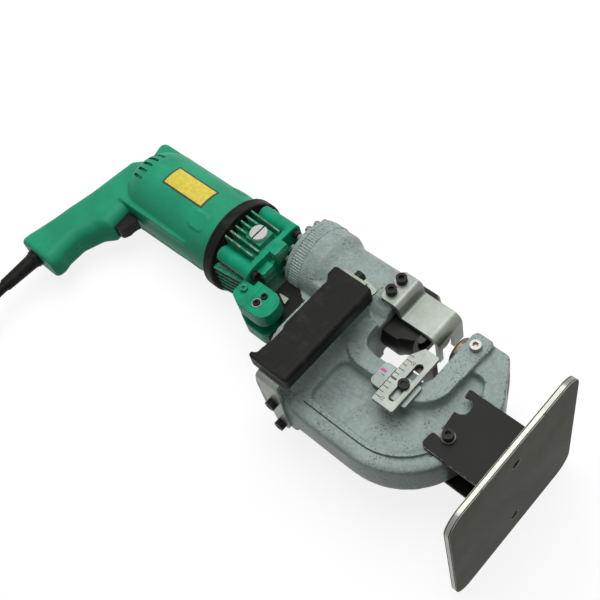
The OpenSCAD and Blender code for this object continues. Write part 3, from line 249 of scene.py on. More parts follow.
def prism(corners, z0, z1, steps=6):
    """A plan of corners (x, y, radius) drawn up from z0 to z1."""
    bm = bmesh.new()
    points = [Vector((x, y, z0)) for x, y, r in corners]
    verts = [bm.verts.new(p) for p in points]
    bm.faces.new(verts)
    count = len(corners)
    for i, (x, y, radius) in enumerate(corners):
        if radius > 0:
            reach = corner_reach(points[i - 1], points[i], points[(i + 1) % count], radius)
            bmesh.ops.bevel(bm, geom=[verts[i]], offset=reach, offset_type="OFFSET", affect="VERTICES",
                            segments=steps, profile=0.5, material=-1)
    grown = bmesh.ops.extrude_face_region(bm, geom=list(bm.faces))
    tops = [g for g in grown["geom"] if isinstance(g, bmesh.types.BMVert)]
    bmesh.ops.translate(bm, vec=(0, 0, z1 - z0), verts=tops)
    return outward(bm)


def slab(x0, x1, y0, y1, radius, z0, z1, steps=6):
    """A rectangle with round corners drawn up from z0 to z1."""
    return prism([(x0, y0, radius), (x1, y0, radius), (x1, y1, radius), (x0, y1, radius)], z0, z1, steps)


def block(x0, x1, y0, y1, z0, z1):
    """A square-cornered block, for unions and cuts."""
    bm = bmesh.new()
    bmesh.ops.create_cube(bm, size=1)
    bmesh.ops.scale(bm, vec=(x1 - x0, y1 - y0, z1 - z0), verts=bm.verts)
    bmesh.ops.translate(bm, vec=((x0 + x1) / 2, (y0 + y1) / 2, (z0 + z1) / 2), verts=bm.verts)
    return bm


def turned(profile, steps=72, closed=False):
    """A profile of points (x, radius) turned about the x axis."""
    bm = bmesh.new()
    verts = [bm.verts.new((x, r, 0)) for x, r in profile]
    pairs = list(zip(verts, verts[1:]))
    if closed:
        pairs.append((verts[-1], verts[0]))
    edges = [bm.edges.new(pair) for pair in pairs]
    bmesh.ops.spin(bm, geom=verts + edges, cent=(0, 0, 0), axis=(1, 0, 0), dvec=(0, 0, 0), angle=FULL_TURN,
                   steps=steps, use_merge=True)
    return outward(bm)


def rod(x0, x1, radius, steps):
    """A plain cylinder along the x axis."""
    return turned([(x0, 0), (x0, radius), (x1, radius), (x1, 0)], steps)


def arc(centre, radius, a0, a1, steps):
    """Points (x, r) of an arc in a profile, by angle in degrees."""
    turns = [math.radians(a0 + (a1 - a0) * i / steps) for i in range(steps + 1)]
    return [(centre[0] + radius * math.cos(a), centre[1] + radius * math.sin(a)) for a in turns]


def node_copy(node):
    """A node's mesh in the machine's own axes, with its loose triangles merged."""
    bm = bmesh.new()
    bm.from_mesh(NODES[node].data)
    moved(bm, TO_TOOL)
    bmesh.ops.remove_doubles(bm, verts=bm.verts, dist=0.005)
    return bm


def flatten(bm):
    """Merges faces that lie in one plane."""
    bmesh.ops.dissolve_limit(bm, angle_limit=math.radians(1), use_dissolve_boundaries=False, verts=bm.verts,
                             edges=bm.edges, delimit=set())


def soften(bm, rounds, step, chosen):
    """Smooths the points that a test chooses, by an inset that grows from round to round."""
    for k in range(rounds):
        verts = [v for v in bm.verts if chosen(v.co, step * k)]
        bmesh.ops.smooth_vert(bm, verts=verts, factor=0.5, use_axis_x=True, use_axis_y=True, use_axis_z=True)


def ease(bm, width, segments=2, angle=28):
    """Rounds the sharp edges, and marks the new faces so that a finish can wear there."""
    flatten(bm)
    worn = bm.faces.layers.float.new("edge")
    sharp = [e for e in bm.edges if len(e.link_faces) == 2 and e.calc_face_angle() > math.radians(angle)]
    made = bmesh.ops.bevel(bm, geom=sharp, offset=width, offset_type="OFFSET", affect="EDGES",
                           segments=segments, profile=0.5, material=-1, clamp_overlap=True)
    for face in made["faces"]:
        face[worn] = 1.0
    return bm


def placed(name, bm):
    """An object in the scene that has the bmesh as its mesh."""
    data = bpy.data.meshes.new(name)
    bm.to_mesh(data)
    bm.free()
    made = bpy.data.objects.new(name, data)
    bpy.context.scene.collection.objects.link(made)
    return made


def drop(scratch):
    """Removes a scratch object and its data."""
    data = scratch.data
    store = bpy.data.curves if scratch.type == "FONT" else bpy.data.meshes
    bpy.data.objects.remove(scratch)
    store.remove(data)


def baked(scratch):
    """The bmesh of a scratch object as its modifiers leave it. The object is removed."""
    bpy.context.view_layer.update()
    depsgraph = bpy.context.evaluated_depsgraph_get()
    result = bmesh.new()
    result.from_mesh(scratch.evaluated_get(depsgraph).to_mesh())
    drop(scratch)
    return result


def evaluated(bm, *settings):
    """The bmesh after modifiers, given as (kind, values) pairs."""
    scratch = placed("scratch", bm)
    for kind, values in settings:
        modifier = scratch.modifiers.new(kind, kind)
        for key, value in values.items():
            setattr(modifier, key, value)
    return baked(scratch)


def fused(bm, cell, rounds):
    """One skin round everything in the bmesh, softened."""
    remesh = {"mode": "VOXEL", "voxel_size": cell, "adaptivity": 0.0}
    smooth = {"factor": 0.5, "iterations": rounds}
    return evaluated(bm, ("REMESH", remesh), ("SMOOTH", smooth))


def cut(bm, *cutters):
    """The bmesh less each cutter, in turn."""
    tools = [placed("cutter", cutter) for cutter in cutters]
    common = {"operation": "DIFFERENCE", "solver": "MANIFOLD"}
    result = evaluated(bm, *[("BOOLEAN", {**common, "object": tool}) for tool in tools])
    for tool in tools:
        drop(tool)
    return result


def piece(name, bm, look, nodes=(), crease=35, even=True, body="machine"):
    """A finished piece from a bmesh in the machine's own axes, riding on a body."""
    made = placed(name, moved(bm, TO_ROW))
    made.data.shade_smooth()
    made.data.set_sharp_from_angle(angle=math.radians(crease))
    made.data.materials.append(finish(look))
    if even:
        weighted = made.modifiers.new("Even normals", "WEIGHTED_NORMAL")
        weighted.keep_sharp = True
    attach(made, body)
    if nodes:
        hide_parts(*nodes)
    return made


def eased_node(node, look, width, segments=2, angle=28, body="machine"):
    """A piece that stands for a node, with the node's shape and rounded edges."""
    bm = ease(node_copy(node), width, segments, angle)
    return piece(node + "_eased", bm, look, (node,), body=body)


def cap_screws(node):
    """A node's black cap screws, with eased heads."""
    return eased_node(node, "screw", measure("screw_edge"))


# Materials


class Nodes:
    """A node tree, with short calls for what the finishes and the stage share."""

    def __init__(self, tree):
        self.tree = tree

    def add(self, kind, sockets=None, **values):
        """A node with its settings, and with links or values on its sockets."""
        node = self.tree.nodes.new(kind)
        for key, value in values.items():
            setattr(node, key, value)
        for key, value in (sockets or {}).items():
            self.join(value, node.inputs[key])
        return node

    def join(self, source, target):
        """A link, or a plain value, into a socket."""
        if isinstance(source, bpy.types.NodeSocket):
            self.tree.links.new(source, target)
        else:
            target.default_value = source

    def maths(self, operation, a, b):
        """Two values, worked into one."""
        return self.add("ShaderNodeMath", {0: a, 1: b}, operation=operation).outputs["Value"]

    def times(self, a, b):
        """One value times another."""
        return self.maths("MULTIPLY", a, b)

    def seen(self):
        """1 for rays from the camera, also off metal and through glass."""
        path = self.add("ShaderNodeLightPath")
        bounced = self.maths("MAXIMUM", path.outputs["Is Glossy Ray"], path.outputs["Is Transmission Ray"])
        return self.maths("MAXIMUM", path.outputs["Is Camera Ray"], bounced)


class Finish(Nodes):
    """A material's node tree, with short calls for its patterns."""

    def __init__(self, name, roughness=0.5, metallic=0.0, specular=0.5):
        self.material = bpy.data.materials.new(name)
        self.material.use_nodes = True
        super().__init__(self.material.node_tree)
        self.shader = self.tree.nodes["Principled BSDF"]
        self.set(Roughness=roughness, Metallic=metallic, Specular_IOR_Level=specular)
        self.place = self.add("ShaderNodeTexCoord").outputs["Object"]

    def set(self, **sockets):
        """Links or values on the shader's sockets, by name with underscores for spaces."""
        for name, value in sockets.items():
            self.join(value, self.shader.inputs[name.replace("_", " ")])
        return self.material

    def noise(self, cell, detail=4.0, stretch=(1, 1, 1), turn=(0, 0, 0)):
        """Noise whose grains are about a cell in millimetres wide."""
        mapping = self.add("ShaderNodeMapping", {"Vector": self.place, "Scale": stretch, "Rotation": turn})
        sockets = {"Vector": mapping.outputs["Vector"], "Scale": 1 / (cell * MM), "Detail": detail,
                   "Roughness": 0.55}
        return self.add("ShaderNodeTexNoise", sockets).outputs["Fac"]

    def cells(self, cell):
        """Rounded cells about a size in millimetres."""
        sockets = {"Vector": self.place, "Scale": 1 / (cell * MM)}
        return self.add("ShaderNodeTexVoronoi", sockets, feature="SMOOTH_F1").outputs["Distance"]

    def ramp(self, source, low, high):
        """A value from 0 at low to 1 at high, eased."""
        sockets = {"Value": source, "From Min": low, "From Max": high}
        return self.add("ShaderNodeMapRange", sockets, interpolation_type="SMOOTHSTEP").outputs["Result"]

    def patches(self, cell, detail, low, high, stretch=(1, 1, 1), turn=(0, 0, 0)):
        """Noise drawn apart into patches, 0 below low and 1 above high."""
        return self.ramp(self.noise(cell, detail, stretch, turn), low, high)

    def spread(self, source, share, low):
        """A share of a value, above a low."""
        return self.maths("ADD", self.times(source, share), low)

    def mix(self, factor, a, b):
        """One colour laid over another."""
        return self.add("ShaderNodeMix", {"Factor": factor, 6: a, 7: b}, data_type="RGBA").outputs[2]

    def over(self, tone, where, share, top):
        """A tone with a share of another laid over it where a value says."""
        return self.mix(self.times(where, share), tone, top)

    def mottled(self, source, low, high, base, dark, light):
        """A base colour, darker where a value is low and lighter where it is high."""
        return self.mix(self.ramp(source, low, high), shade(base, dark), shade(base, light))

    def edges(self):
        """1 on faces that were rounded, 0 elsewhere."""
        return self.add("ShaderNodeAttribute", attribute_name="edge").outputs["Fac"]

    def ridges(self, low=0.52, high=0.6):
        """1 along the outer ridges of a finely meshed piece."""
        return self.ramp(self.add("ShaderNodeNewGeometry").outputs["Pointiness"], low, high)

    def bump(self, height, distance, strength, under=None):
        """Fine relief, its depth in millimetres."""
        sockets = {"Strength": strength, "Distance": distance * MM, "Height": height}
        if under:
            sockets["Normal"] = under
        return self.add("ShaderNodeBump", sockets).outputs["Normal"]


def shade(base, factor):
    """A colour made darker or lighter."""
    return (*[min(1.0, c * factor) for c in base[:3]], 1.0)


def blend(a, b, share):
    """A colour between two."""
    return (*[x + (y - x) * share for x, y in zip(a[:3], b[:3])], 1.0)


def hammered_paint(base, cell):
    """Hammered paint: rounded dimples, dark specks in patches and on ridges, fine lighter mottles that are
    the paint's sparkle and painted glints, and ridges lighter with rubbed wear and painted highlight.
    """
    f = Finish("hammered_paint", specular=0.14)
    blotch = f.noise(26, 5)
    patch = f.maths("MAXIMUM", f.patches(24, 3, 0.42, 0.64), f.ridges(0.503, 0.53))
    speck = f.times(f.patches(1.9, 3, 0.54, 0.66), patch)
    tone = f.mottled(blotch, 0.32, 0.7, base, 0.84, 1.1)
    # Fine lighter mottles: the paint's sparkle, with painted glints in place of specular highlights.
    tone = f.over(tone, f.patches(3.2, 4, 0.42, 0.62), 0.36, shade(base, 1.35))
    tone = f.over(tone, speck, 0.8, shade(base, 0.2))
    # Lighter ridges: rubbed wear, and a painted highlight along the convex edges.
    tone = f.over(tone, f.ridges(), 0.25, shade(base, 1.3))
    rough = f.spread(f.ramp(blotch, 0.2, 0.9), 0.2, 0.27)
    relief = f.bump(f.noise(9, 2), 0.3, 0.4, f.bump(f.cells(cell), 0.42, 0.9))
    return f.set(Base_Color=tone, Roughness=rough, Normal=relief)


def moulded_plastic(name, base):
    """Moulded plastic: fine grain, scuffs and a little grime."""
    f = Finish(name, specular=0.12)
    blotch = f.noise(42, 4)
    scuff = f.patches(5, 6, 0.62, 0.78, (1, 1, 4))
    tone = f.mottled(blotch, 0.3, 0.72, base, 0.86, 1.1)
    tone = f.over(tone, scuff, 0.2, blend(base, (0.6, 0.7, 0.66, 1), 0.4))
    tone = f.over(tone, f.patches(14, 6, 0.58, 0.8), 0.22, shade(base, 0.45))
    relief = f.bump(f.noise(0.9, 3), 0.05, 0.35)
    return f.set(Base_Color=tone, Roughness=f.spread(blotch, 0.22, 0.34), Normal=relief)


def chipped_paint(name, base, metal):
    """Thick paint on a casting, chipped to metal and primer along its ridges."""
    f = Finish(name, specular=0.12)
    blotch = f.noise(20, 5)
    bare = f.times(f.ridges(0.53, 0.58), f.patches(3.5, 6, 0.44, 0.56))
    chips = f.mix(f.patches(7, 4, 0.5, 0.6), metal, srgb(120, 84, 62))
    tone = f.mix(bare, f.mottled(blotch, 0.3, 0.72, base, 0.72, 1.12), chips)
    relief = f.bump(f.noise(2.5, 4), 0.12, 0.4)
    return f.set(Base_Color=tone, Roughness=f.spread(blotch, 0.2, 0.28), Normal=relief)


def worn_black(name, base, under, rub=0.7, roughness=0.45):
    """Black paint or oxide, rubbed at its edges."""
    f = Finish(name, specular=0.14)
    blotch = f.noise(30, 6)
    bare = f.times(f.times(f.edges(), f.patches(4, 6, 0.42, 0.62)), rub)
    scratch = f.patches(3, 8, 0.68, 0.74, (1, 6, 1), (0, 0, 0.7))
    tone = f.mottled(blotch, 0.3, 0.7, base, 0.75, 1.25)
    tone = f.mix(bare, f.over(tone, scratch, 0.25, under), under)
    rough = f.spread(blotch, 0.25, roughness - 0.12)
    relief = f.bump(f.noise(1.2, 4), 0.06, 0.4)
    return f.set(Base_Color=tone, Roughness=rough, Metallic=bare, Normal=relief)


def plated_metal(name, base, roughness=0.36, streak=(1, 1, 1), grime=0.35):
    """Plated or machined metal: clouded, streaked and a little grimy."""
    f = Finish(name, metallic=0.6)
    line = f.noise(2.2, 5, streak)
    tone = f.mottled(f.noise(16, 6), 0.3, 0.7, base, 0.8, 1.05)
    tone = f.over(tone, f.patches(8, 7, 0.55, 0.75), grime, shade(base, 0.4))
    rough = f.spread(line, 0.2, roughness - 0.1)
    return f.set(Base_Color=tone, Roughness=rough, Normal=f.bump(line, 0.05, 0.35))


def worn_steel(name, base):
    """Bare steel plate: brown-grey patina, scratches, bright rubbed edges."""
    f = Finish(name, specular=0.03)
    cloud = f.noise(38, 7)
    scratch = f.patches(2.5, 8, 0.64, 0.72, (1, 8, 1), (0.5, 0, 0.3))
    bare = f.times(f.edges(), f.patches(5, 5, 0.22, 0.5))
    stain = blend(shade(base, 0.6), srgb(96, 74, 50), 0.5)
    tone = f.mottled(cloud, 0.3, 0.7, base, 0.7, 1.15)
    tone = f.over(tone, f.patches(14, 8, 0.5, 0.72), 0.5, stain)
    tone = f.over(tone, scratch, 0.4, shade(base, 2.2))
    tone = f.mix(bare, tone, srgb(196, 194, 184))
    relief = f.bump(f.noise(3, 6), 0.12, 0.4)
    return f.set(Base_Color=tone, Roughness=f.spread(cloud, 0.25, 0.32), Normal=relief)


def burnt_steel(name, base):
    """Tool steel browned by oil and heat."""
    f = Finish(name, metallic=0.7)
    grain = f.noise(1.5, 4)
    tone = f.mottled(f.noise(6, 6), 0.35, 0.65, base, 0.5, 1.3)
    return f.set(Base_Color=tone, Roughness=f.spread(grain, 0.2, 0.25), Normal=f.bump(grain, 0.04, 0.4))


def soft_rubber(name, base, grain=0.8, roughness=0.6):
    """Rubber: fine pores, dusty rub marks."""
    f = Finish(name, specular=0.1)
    dust = f.patches(12, 7, 0.5, 0.78)
    tone = f.over(base, dust, 0.4, blend(base, srgb(120, 118, 110), 0.25))
    rough = f.spread(dust, 0.15, roughness - 0.05)
    return f.set(Base_Color=tone, Roughness=rough, Normal=f.bump(f.noise(grain, 4), 0.07, 0.5))


def flat_ink(name, base, roughness=0.5):
    """Ink or printed colour with slight mottling."""
    f = Finish(name, roughness)
    tone = f.mottled(f.noise(4, 5), 0.35, 0.7, base, 0.86, 1.04)
    return f.set(Base_Color=tone, Normal=f.bump(f.noise(0.6, 3), 0.02, 0.3))


FINISHES = {}


def finish(name):
    """A finish of the hole punch, made at its first use."""
    if name in FINISHES:
        return FINISHES[name]
    c = colours()
    makers = {
        "casting": (hammered_paint, c.casting, measure("hammer_cell")),
        "housing": (moulded_plastic, "moulded_green", c.housing),
        "pump": (chipped_paint, "pump_green", c.pump, srgb(178, 176, 168)),
        "zinc": (plated_metal, "zinc_plate", c.zinc, 0.38),
        "alloy": (plated_metal, "brushed_alloy", c.alloy, 0.42, (1, 0.12, 1), 0.2),
        "machined": (plated_metal, "machined_grey", srgb(118, 127, 123), 0.42, (0.2, 1, 1), 0.3),
        "bright": (plated_metal, "bright_steel", srgb(150, 150, 143), 0.3, (1, 1, 1), 0.35),
        "dark": (plated_metal, "dark_steel", srgb(78, 78, 74), 0.42, (1, 1, 1), 0.5),
        "plate": (worn_steel, "stand_steel", c.plate),
        "side": (worn_black, "side_paint", c.side, srgb(128, 124, 116)),
        "screw": (worn_black, "black_oxide", c.screw, srgb(120, 112, 100), 0.5, 0.38),
        "grip": (soft_rubber, "grip_rubber", c.rubber, 0.7, 0.52),
        "ring": (soft_rubber, "ring_rubber", shade(c.rubber, 0.85), 1.1, 0.5),
        "cord": (soft_rubber, "cord_rubber", shade(c.rubber, 0.75), 0.5, 0.48),
        "trigger": (moulded_plastic, "trigger_black", srgb(34, 34, 34)),
        "plug": (moulded_plastic, "plug_white", c.plug),
        "die": (burnt_steel, "browned_steel", srgb(122, 110, 92)),
        "punch": (burnt_steel, "punch_steel", srgb(74, 62, 58)),
        "label": (flat_ink, "patch_yellow", c.label, 0.42),
        "ink": (flat_ink, "scale_ink", srgb(34, 36, 36)),
        "border": (flat_ink, "patch_border", srgb(16, 30, 20)),
        "index": (flat_ink, "index_paint", c.index),
        "copper": (plated_metal, "winding_copper", srgb(176, 104, 62), 0.35),
        "bronze": (plated_metal, "bush_bronze", srgb(112, 92, 62), 0.42),
        # The dark colour of the inner pieces, also used as painted shade in the filler plug's slot.
        "hollow": (flat_ink, "inner_dark", srgb(20, 24, 22), 0.8),
    }
    maker, *given = makers[name]
    FINISHES[name] = maker(*given)
    return FINISHES[name]


def dress(look, *names):
    """Gives carried-over nodes a finish."""
    for name in names:
        for held in NODES[name].material_slots:
            held.material = finish(look)


# Stage


class PUNCH_OT_stage(bpy.types.Operator):
    """Makes the camera, the floor, the lamps and the world"""

    bl_idname = "punch.stage"
    bl_label = "Stage"

    def execute(self, context):
        scene = context.scene
        scene.view_settings.view_transform = "Standard"
        self.camera(scene)
        self.floor()
        self.lamps(scene)
        self.world(scene)
        return {"FINISHED"}

    def camera(self, scene):
        """A camera at the photograph's viewing angle."""
        data = bpy.data.cameras.new("camera")
        data.sensor_width = SENSOR_W
        data.lens = EYE_LENS
        data.clip_end = 20
        eye = bpy.data.objects.new("camera", data)
        eye.location = EYE_PLACE
        eye.rotation_euler = [math.radians(a) for a in EYE_TURN]
        scene.collection.objects.link(eye)
        scene.camera = eye

    def floor(self):
        """A wide pale floor, a little lifted for the camera so that it stays near white."""
        bm = bmesh.new()
        bmesh.ops.create_circle(bm, cap_ends=True, cap_tris=False, segments=96, radius=6)
        bmesh.ops.translate(bm, vec=(0, 0, CAD_BOX[0].z - 0.0002), verts=bm.verts)
        ground = placed("floor", bm)
        f = Finish("floor", 0.9)
        f.set(Base_Color=tuple(colours().floor), Emission_Color=(1, 1, 1, 1),
              Emission_Strength=f.times(f.seen(), FLOOR_SEEN))
        ground.data.materials.append(f.material)

    def lamps(self, scene):
        """A large soft lamp overhead, a weaker one behind and a fill by the camera."""
        for name, place, size, power in LAMPS:
            data = bpy.data.lights.new(name, "AREA")
            data.size = size
            data.energy = power
            lamp = bpy.data.objects.new(name, data)
            lamp.location = place
            lamp.rotation_mode = "QUATERNION"
            lamp.rotation_quaternion = (LAMP_AIM - Vector(place)).to_track_quat("-Z", "Y")
            scene.collection.objects.link(lamp)

    def world(self, scene):
        """White to the eye and to reflections, a soft grey light to the rest."""
        world = bpy.data.worlds.new("studio")
        world.use_nodes = True
        nodes = Nodes(world.node_tree)
        back = nodes.tree.nodes["Background"]
        back.inputs["Color"].default_value = (1, 1, 1, 1)
        sockets = {"Value": nodes.seen(), "To Min": WORLD_LIGHT, "To Max": WORLD_SEEN}
        level = nodes.add("ShaderNodeMapRange", sockets)
        nodes.join(level.outputs["Result"], back.inputs["Strength"])
        scene.world = world


# Cord


def bezier(p, q, r, t, u):
    """A point on a curve from p to t, pulled towards q and r."""
    v = 1 - u
    return v ** 3 * p + 3 * u * v * v * q + 3 * u * u * v * r + u ** 3 * t


def step_ease(u):
    """0 to 1 with level ends."""
    u = max(0.0, min(1.0, u))
    return u * u * (3 - 2 * u)


class PUNCH_OT_cord(bpy.types.Operator):
    """Makes the mains lead, its strain relief, tie and plug"""

    bl_idname = "punch.cord"
    bl_label = "Cord"

    coil_r: bpy.props.FloatProperty(name="Coil radius", default=78.0)
    coil_turns: bpy.props.IntProperty(name="Coil turns", default=3)

    def route(self):
        """The lead's points in the row frame: off the handle, round the coil, to the plug."""
        d = measure("cord_diameter")
        start = TO_ROW @ Vector((GUARD_X, GUARD_Y - GUARD_REACH, 0)) / MM
        ground = CAD_BOX[0].z / MM + d / 2
        pitch = d + 0.6
        tie_t = 1.2
        tie_gap = 0.4
        coil_z = ground + tie_t + tie_gap
        middle = Vector((start.x - 52, start.y - 120, 0))
        start_angle = 10
        per_turn = 24
        floor_n = self.coil_turns * per_turn
        climb_n = per_turn // 2
        step_n = 18
        top_n = round((self.coil_turns - 0.92) * per_turn)
        last = floor_n + climb_n + top_n

        def radius(i):
            if i <= floor_n + climb_n:
                return self.coil_r - pitch * i / per_turn
            m = i - floor_n - climb_n
            inner = self.coil_r - pitch * (floor_n + climb_n) / per_turn
            return inner + pitch * (1.2 * min(m, step_n) / step_n + max(0, m - step_n) / per_turn)

        def coil(i):
            a = math.radians(start_angle - 360 * i / per_turn)
            z = coil_z + pitch * step_ease((i - floor_n) / climb_n)
            return middle + Vector((radius(i) * math.cos(a), radius(i) * math.sin(a), z))

        core = [coil(i) for i in range(last + 1)]
        inward = (core[0] - core[1]).normalized()
        entry = core[0] + d * inward
        away = (core[-1] - core[-2]).normalized()
        leave = core[-1] + d * away
        out = Vector((0, -1, 0))
        lead_from = start + 6 * out
        lead_to = entry + 6 * inward
        steps = 16
        lead = [start] + [bezier(lead_from, lead_from + 40 * out, lead_to + 55 * inward, lead_to, i / steps)
                          for i in range(steps + 1)]
        end = leave + 12 * away
        return [p * MM for p in lead + [entry] + core + [leave, end]]

    def execute(self, context):
        points = self.route()
        thick = context.scene.punch_sizes.cord_diameter
        data = bpy.data.curves.new("mains_lead", "CURVE")
        data.dimensions = "3D"
        data.bevel_depth = thick / 2
        data.bevel_resolution = 6
        data.resolution_u = 4
        data.use_fill_caps = True
        spline = data.splines.new("BEZIER")
        spline.bezier_points.add(len(points) - 1)
        for held, p in zip(spline.bezier_points, points):
            held.co = p
            held.handle_left_type = "AUTO"
            held.handle_right_type = "AUTO"
        data.materials.append(finish("cord"))
        lead = bpy.data.objects.new("mains_lead", data)
        context.scene.collection.objects.link(lead)
        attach(lead, "machine")
        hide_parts("cord_lead", "cord_coil", "cord_tail")
        self.guard()
        tie = eased_node("cord_tie", "cord", 0.4)
        plug = eased_node("plug_body", "cord", 1.2, 3, 40)
        pins = eased_node("plug_pins", "bright", 0.3)
        return {"FINISHED"}

    def guard(self):
        """The smooth tapered strain relief."""
        end = GUARD_REACH
        profile = [(-12, 0), (-12, 7.9), (-1.2, 7.9), (-1.2, 9.0), (-0.8, 9.4), (2.6, 9.4), (4, 8.6),
                   (7, 7.9), (end - 2, 6.6), (end - 0.4, 6.5), (end, 6.1), (end, 0)]
        bm = turned(profile, 40)
        moved(bm, shift(GUARD_X, GUARD_Y, 0) @ rotation(-90, "Z"))
        piece("cord_guard_tapered", bm, "cord", ("cord_guard",))


# Casting and cylinder


class PUNCH_OT_casting(bpy.types.Operator):
    """Makes the cast frame, its ridged flange and the machined jaw pad"""

    bl_idname = "punch.casting"
    bl_label = "Cast frame"

    def execute(self, context):
        bm = cut(node_copy("c_frame"), self.shoulder(), *self.pockets())
        bm = fused(bm, measure("casting_cell"), 4)
        soften(bm, 14, 0.8, self.in_hollow)
        soften(bm, 36, 0.15, self.on_rim)
        bm = cut(bm, *self.grooves())
        piece("cast_frame", bm, "casting", ("c_frame",), 60, False)
        self.flange()
        self.recess()
        pad = slab(38, 54, 20, 43, 2, BAND_Z - 1.5, BAND_Z + 0.25)
        piece("jaw_pad", ease(pad, 0.2), "casting")
        return {"FINISHED"}

    def shoulder(self):
        """What the cast spine leaves free beside the barrel, above the recess where a black pad stands in
        for shade.
        """
        plan = [(-150, -70, 0), (SPINE_X + 4, -70, 0), (SPINE_X, -54, 20), (SPINE_X, -14, 14),
                (SPINE_X + 16, 6, 0), (-150, 6, 0)]
        drum = rod(-160, SPINE_X + 30, BARREL_R, 96)
        return cut(prism(plan, RECESS_Z, 40), moved(drum, shift(0, PUNCH_Y, 0)))

    def pockets(self):
        """What the hollow on either face takes out of the spine beside the grip, and out of the web."""
        side = [(-41, -86, 9), (-26, -86, 0), (-26, -40, 0), (-41, -40, 9)]
        rim = RIM_W + WEB_GAP
        heel = FRAME_X1 - rim
        throat = THROAT_X1 + BAND_W + WEB_GAP
        floor = [(-31, SPINE_Y + rim, 0), (heel, SPINE_Y + rim, HEEL_R - rim), (heel, -0.5, 14),
                 (66.7, 15.2, 6), (throat, 15.2, 6), (throat, -40.3, 30), (-31, -40.3, 0)]
        made = []
        for plan, top in ((side, 40), (floor, 16)):
            made += [prism(plan, WEB_Z, top), prism(plan, -top, -WEB_Z)]
        return made

    def grooves(self):
        """The thin line along the rim's inner edge on either face."""
        made = []
        for z0, z1 in ((LINE_Z, 30), (-30, -LINE_Z)):
            outer = prism(self.rim_plan(-40, -46, 0), z0, z1, 12)
            inner = prism(self.rim_plan(-50, -30, LINE_W), z0 - 1, z1 + 1, 12)
            made.append(cut(outer, inner))
        return made

    def rim_plan(self, x0, y1, inset):
        """A plan from the rim's line inwards, round at the heel, less an inset."""
        y0 = -92.4 + inset
        x1 = 80 - inset
        return [(x0, y0, 0), (x1, y0, 59 - inset), (x1, y1, 0), (x0, y1, 0)]

    def recess(self):
        """A black pad in the recess between barrel, spine and valve, painted shadow for the deep shade
        there, and the clip on it.
        """
        plan = [(SPINE_X + 1, -63, 1), (-117.5, -61, 3), (-118, -41, 2), (-126, -37, 2), (-146, -30, 3),
                (-146, -4, 1), (SPINE_X + 1, -4, 1)]
        # Painted shadow: a black block that fills the recess where it lies in deep shade.
        pad = ease(prism(plan, -19, RECESS_Z), 0.8)
        piece("recess_shadow_pad", pad, "ring")
        clip = prism([(-140, -21, 0.6), (-128, -20, 0.6), (-127, -27, 0.6)], RECESS_Z - 0.5, RECESS_Z + 3.5)
        piece("recess_clip", ease(clip, 0.4), "zinc")

    def in_hollow(self, p, inset):
        """Whether a point is in the web's hollow, where the casting flows, less an inset all round."""
        high = WEB_Z - 1.5 < abs(p.z) < BAND_Z - 0.5 - 0.5 * inset
        inside = -44 + inset < p.x < 80 - inset and -80 + inset < p.y < 14 - inset
        return high and inside and (p.y < -36 - inset or p.x > 42 + inset)

    def on_rim(self, p, inset):
        """Whether a point is on the rim's round outer edge, along the spine and the heel, less an inset."""
        depth = p.y - SPINE_Y
        if p.x > HEEL_X and p.y < SPINE_Y + HEEL_R:
            depth = HEEL_R - math.hypot(p.x - HEEL_X, p.y - SPINE_Y - HEEL_R)
        return p.x > -44 and depth < 11 - inset and abs(p.z) > 7 + inset

    def flange(self):
        """Fine ridges round the barrel's flange."""
        x0 = BARREL_X + 0.8
        x1 = BARREL_X + 12
        bm = turned([(x0, BARREL_R - 2), (x0, BARREL_R - 0.1), (x1, BARREL_R - 0.1), (x1, BARREL_R - 2)],
                    3 * RIDGE_N, closed=True)
        crest = [v for v in bm.verts if math.hypot(v.co.y, v.co.z) > BARREL_R - 1 and self.ridge(v.co)]
        bmesh.ops.scale(bm, vec=(1, 1.024, 1.024), verts=crest)
        moved(bm, shift(0, PUNCH_Y, 0))
        piece("flange_ridges", bm, "casting", crease=20, even=False)

    def ridge(self, p):
        """Whether a point of the flange is on a ridge: two of every three steps round it."""
        step = round(math.degrees(math.atan2(p.z, p.y)) / (120 / RIDGE_N))
        return step % 3 != 0


class PUNCH_OT_cylinder(bpy.types.Operator):
    """Makes the cylinder head and its domed bolts"""

    bl_idname = "punch.cylinder"
    bl_label = "Cylinder head"

    def execute(self, context):
        eased_node("cylinder_head", "casting", 0.6)
        heads = []
        dome = [(0, 0), (0, 3.7), (-1.6, 3.7)]
        dome += arc((-1.6, 1.2), 2.5, 90, 180, 6) + [(-4.1, 0)]
        for i in range(DOME_N):
            bm = turned(dome, 20)
            turn = rotation(360 / DOME_N * (i + 0.5), "X")
            moved(bm, shift(HEAD_X, PUNCH_Y, 0) @ turn @ shift(0, 0, BARREL_R - 4.2))
            heads.append(bm)
        piece("head_bolts_domed", joined(*heads), "machined", ("head_bolts",))
        return {"FINISHED"}


# Motor and handle


